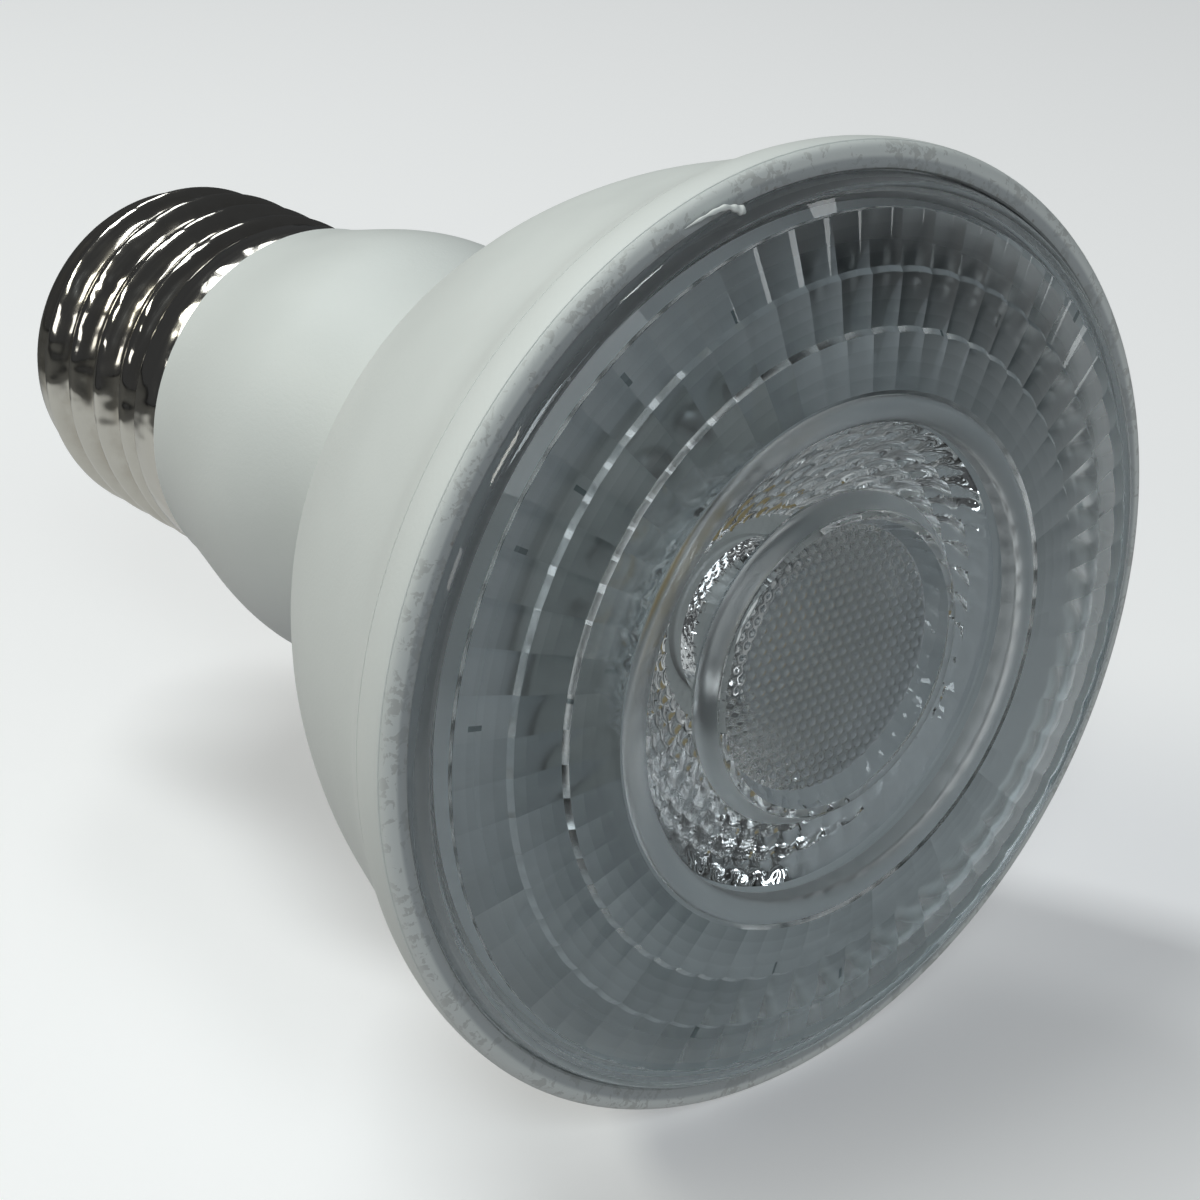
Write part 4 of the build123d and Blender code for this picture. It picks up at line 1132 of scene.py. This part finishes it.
inner_finishes = {
    "aluminium": ((0.7, 0.72, 0.74), (0.8, 0.82, 0.84), 0.5, 0.4),
    "grey_plastic": ((0.55, 0.56, 0.57), (0.63, 0.64, 0.65), 0.5),
    "circuit_board": ((0.05, 0.2, 0.1), (0.08, 0.27, 0.14), 0.4),
    "can_sleeve": ((0.03, 0.04, 0.07), (0.05, 0.06, 0.1), 0.3),
    "ferrite": ((0.06, 0.06, 0.06), (0.1, 0.1, 0.1), 0.6),
    "black_plastic": ((0.02, 0.02, 0.02), (0.04, 0.04, 0.04), 0.45),
    "winding_tape": ((0.7, 0.5, 0.08), (0.8, 0.6, 0.12), 0.35),
    "film_case": ((0.5, 0.1, 0.05), (0.6, 0.14, 0.07), 0.35),
    "resistor_coat": ((0.35, 0.5, 0.6), (0.42, 0.57, 0.66), 0.4),
    "red_wire": ((0.5, 0.03, 0.03), (0.6, 0.05, 0.04), 0.4),
    "black_wire": ((0.02, 0.02, 0.02), (0.04, 0.04, 0.045), 0.4),
    "white_board": ((0.72, 0.73, 0.71), (0.79, 0.8, 0.78), 0.35),
    "white_silicone": ((0.74, 0.74, 0.72), (0.8, 0.8, 0.78), 0.45),
    "phosphor": ((0.75, 0.52, 0.2), (0.82, 0.61, 0.27), 0.6),
    "white_wire": ((0.66, 0.66, 0.64), (0.73, 0.73, 0.71), 0.4),
    "screw_steel": ((0.5, 0.5, 0.5), (0.62, 0.62, 0.61), 0.35, 1.0),
}
inner_materials = {slot: plain_finish(slot, *values) for slot, values in inner_finishes.items()}
for row in frame["record"]["subparts"]:
    if row["material_slot"] in inner_materials:
        solid = frame["nodes"][row["node"]]
        solid.data.materials.clear()
        solid.data.materials.append(inner_materials[row["material_slot"]])
print("inner finishes:", len(inner_materials))

# %% [markdown]
# ## Floor and light
#
# The lamp is held by its cap, with its rim just on a pale floor. The photograph is a cut-out, so its floor
# is not seen, and this one stays plain. A floor of one pale colour would light the lamp from below far more
# than the photograph shows. So the floor tells by the kind of ray who looks at it: it is pale for the
# camera, mirrored pale only near the lamp, and an even dim grey for bounced light.

# %% Floor
floor_reach = 2.0

corners = [(x * floor_reach, y * floor_reach, -rim_radius) for x, y in ((-1, -1), (1, -1), (1, 1), (-1, 1))]
floor_mesh = bpy.data.meshes.new("pale_floor")
floor_mesh.from_pydata(corners, [], [(0, 1, 2, 3)])
floor = bpy.data.objects.new("pale_floor", floor_mesh)
bpy.context.scene.collection.objects.link(floor)


def pale_floor():
    """A plain pale ground. In metal and glass it is pale under the lamp, in front of it and to its right. To
    the left and behind it is dark in metal. It glows a little for the camera, and bounced light only meets
    a glow."""
    material, tree, shader = finish(
        "pale_floor", Roughness=0.75, Specular_IOR_Level=0.2, Emission_Color=(0.97, 0.98, 1.0, 1.0),
    )
    ray = rays(tree)
    axes = node(tree, "ShaderNodeSeparateXYZ")
    tree.links.new(object_place(tree), axes.inputs["Vector"])
    beside = ramp(tree, axes.outputs["X"], -0.16, -0.07)
    before = ramp(tree, axes.outputs["Y"], 0.09, 0.03)
    near = calc(tree, "MULTIPLY", beside, before)
    mirrored = calc(tree, "MAXIMUM", ray["Is Glossy Ray"], ray["Is Transmission Ray"])
    mirrored = calc(tree, "MULTIPLY", near, mirrored)
    far_off = calc(tree, "SUBTRACT", ray["Is Glossy Ray"], mirrored)
    colour = mix(tree, far_off, (0.55, 0.55, 0.55), (0.08, 0.08, 0.08))
    colour = mix(tree, mirrored, colour, (0.6, 0.605, 0.61))
    colour = mix(tree, ray["Is Camera Ray"], colour, (0.84, 0.845, 0.85))
    tree.links.new(colour, shader.inputs["Base Color"])
    seen_glow = calc(tree, "MULTIPLY", ray["Is Camera Ray"], 0.2)
    glow = calc(tree, "ADD", seen_glow, calc(tree, "MULTIPLY", mirrored, 0.05))
    tree.links.new(glow, shader.inputs["Emission Strength"])
    material.cycles.emission_sampling = "NONE"
    thrown = node(tree, "ShaderNodeEmission", Color=(0.3, 0.3, 0.305, 1.0))
    swap(tree, ray["Is Diffuse Ray"], shader.outputs["BSDF"], thrown.outputs["Emission"])
    return material


floor.data.materials.append(pale_floor())
print("floor at z in mm:", round(-rim_radius / mm, 2))

# %% [markdown]
# In the photograph the bell is bright and the face lies in open shade, so the strong lights stand to the
# left, above and behind the lens. A sun or a point light would give hard shadows, so all are area lights.
# The key and the low one light the bell's left, the top and back ones its upper side. The left spark and
# the face light stand before the lens and give the facets something to mirror. The last three are small
# and weak, for glints on the right. An even, faint world lights the rest.

# %% Lights and world
middle = (0, -0.5 * front_h, 0)
lights = {
    "key": ((-0.46, 0.13, 0.46), (0.4, 0.13), 1.35, (1.0, 1.0, 0.9)),
    "top": ((-0.1, 0.2, 0.66), (0.13, 0.4), 1.9, (0.97, 1.0, 1.0)),
    "back": ((0.18, 0.31, 0.58), (0.12, 0.24), 0.45, (0.97, 1.0, 1.0)),
    "low": ((-0.64, 0.05, 0.22), (0.3, 0.1), 0.25, (1.0, 1.0, 0.96)),
    "spark_left": ((-0.28, -0.42, 0.36), (0.14, 0.14), 0.42, (0.88, 0.96, 1.0)),
    "face": ((-0.12, -0.6, 0.34), (0.3, 0.3), 0.5, (0.88, 0.96, 1.0)),
    "spark_right": ((0.36, -0.34, 0.36), (0.06, 0.06), 0.04, (0.95, 0.99, 1.0)),
    "front_card": ((0.24, -0.58, 0.2), (0.1, 0.1), 0.05, (0.95, 0.99, 1.0)),
    "side_card": ((0.48, -0.4, 0.04), (0.08, 0.08), 0.06, (0.95, 0.99, 1.0)),
}


def soft_light(name, place, size, watts, colour):
    """An area light at a place, turned so that its face looks at the lamp's middle; size is its level side
    and its other side."""
    data = bpy.data.lights.new(name, "AREA")
    data.shape = "RECTANGLE"
    data.size, data.size_y = size
    data.energy = watts
    data.color = colour
    light = bpy.data.objects.new(name, data)
    bpy.context.scene.collection.objects.link(light)
    back = np.subtract(place, middle)
    back = back / np.linalg.norm(back)
    side = np.cross((0, 0, 1), back)
    side = side / np.linalg.norm(side)
    light.matrix_world = placed(side, np.cross(back, side), back, place)


for name, values in lights.items():
    soft_light(name, *values)
world = bpy.data.worlds.new("soft_world")
bpy.context.scene.world = world
world.use_nodes = True
background = world.node_tree.nodes["Background"]
background.inputs["Color"].default_value = (0.9, 0.94, 1.0, 1.0)
background.inputs["Strength"].default_value = 0.05
print("lights:", len(lights))
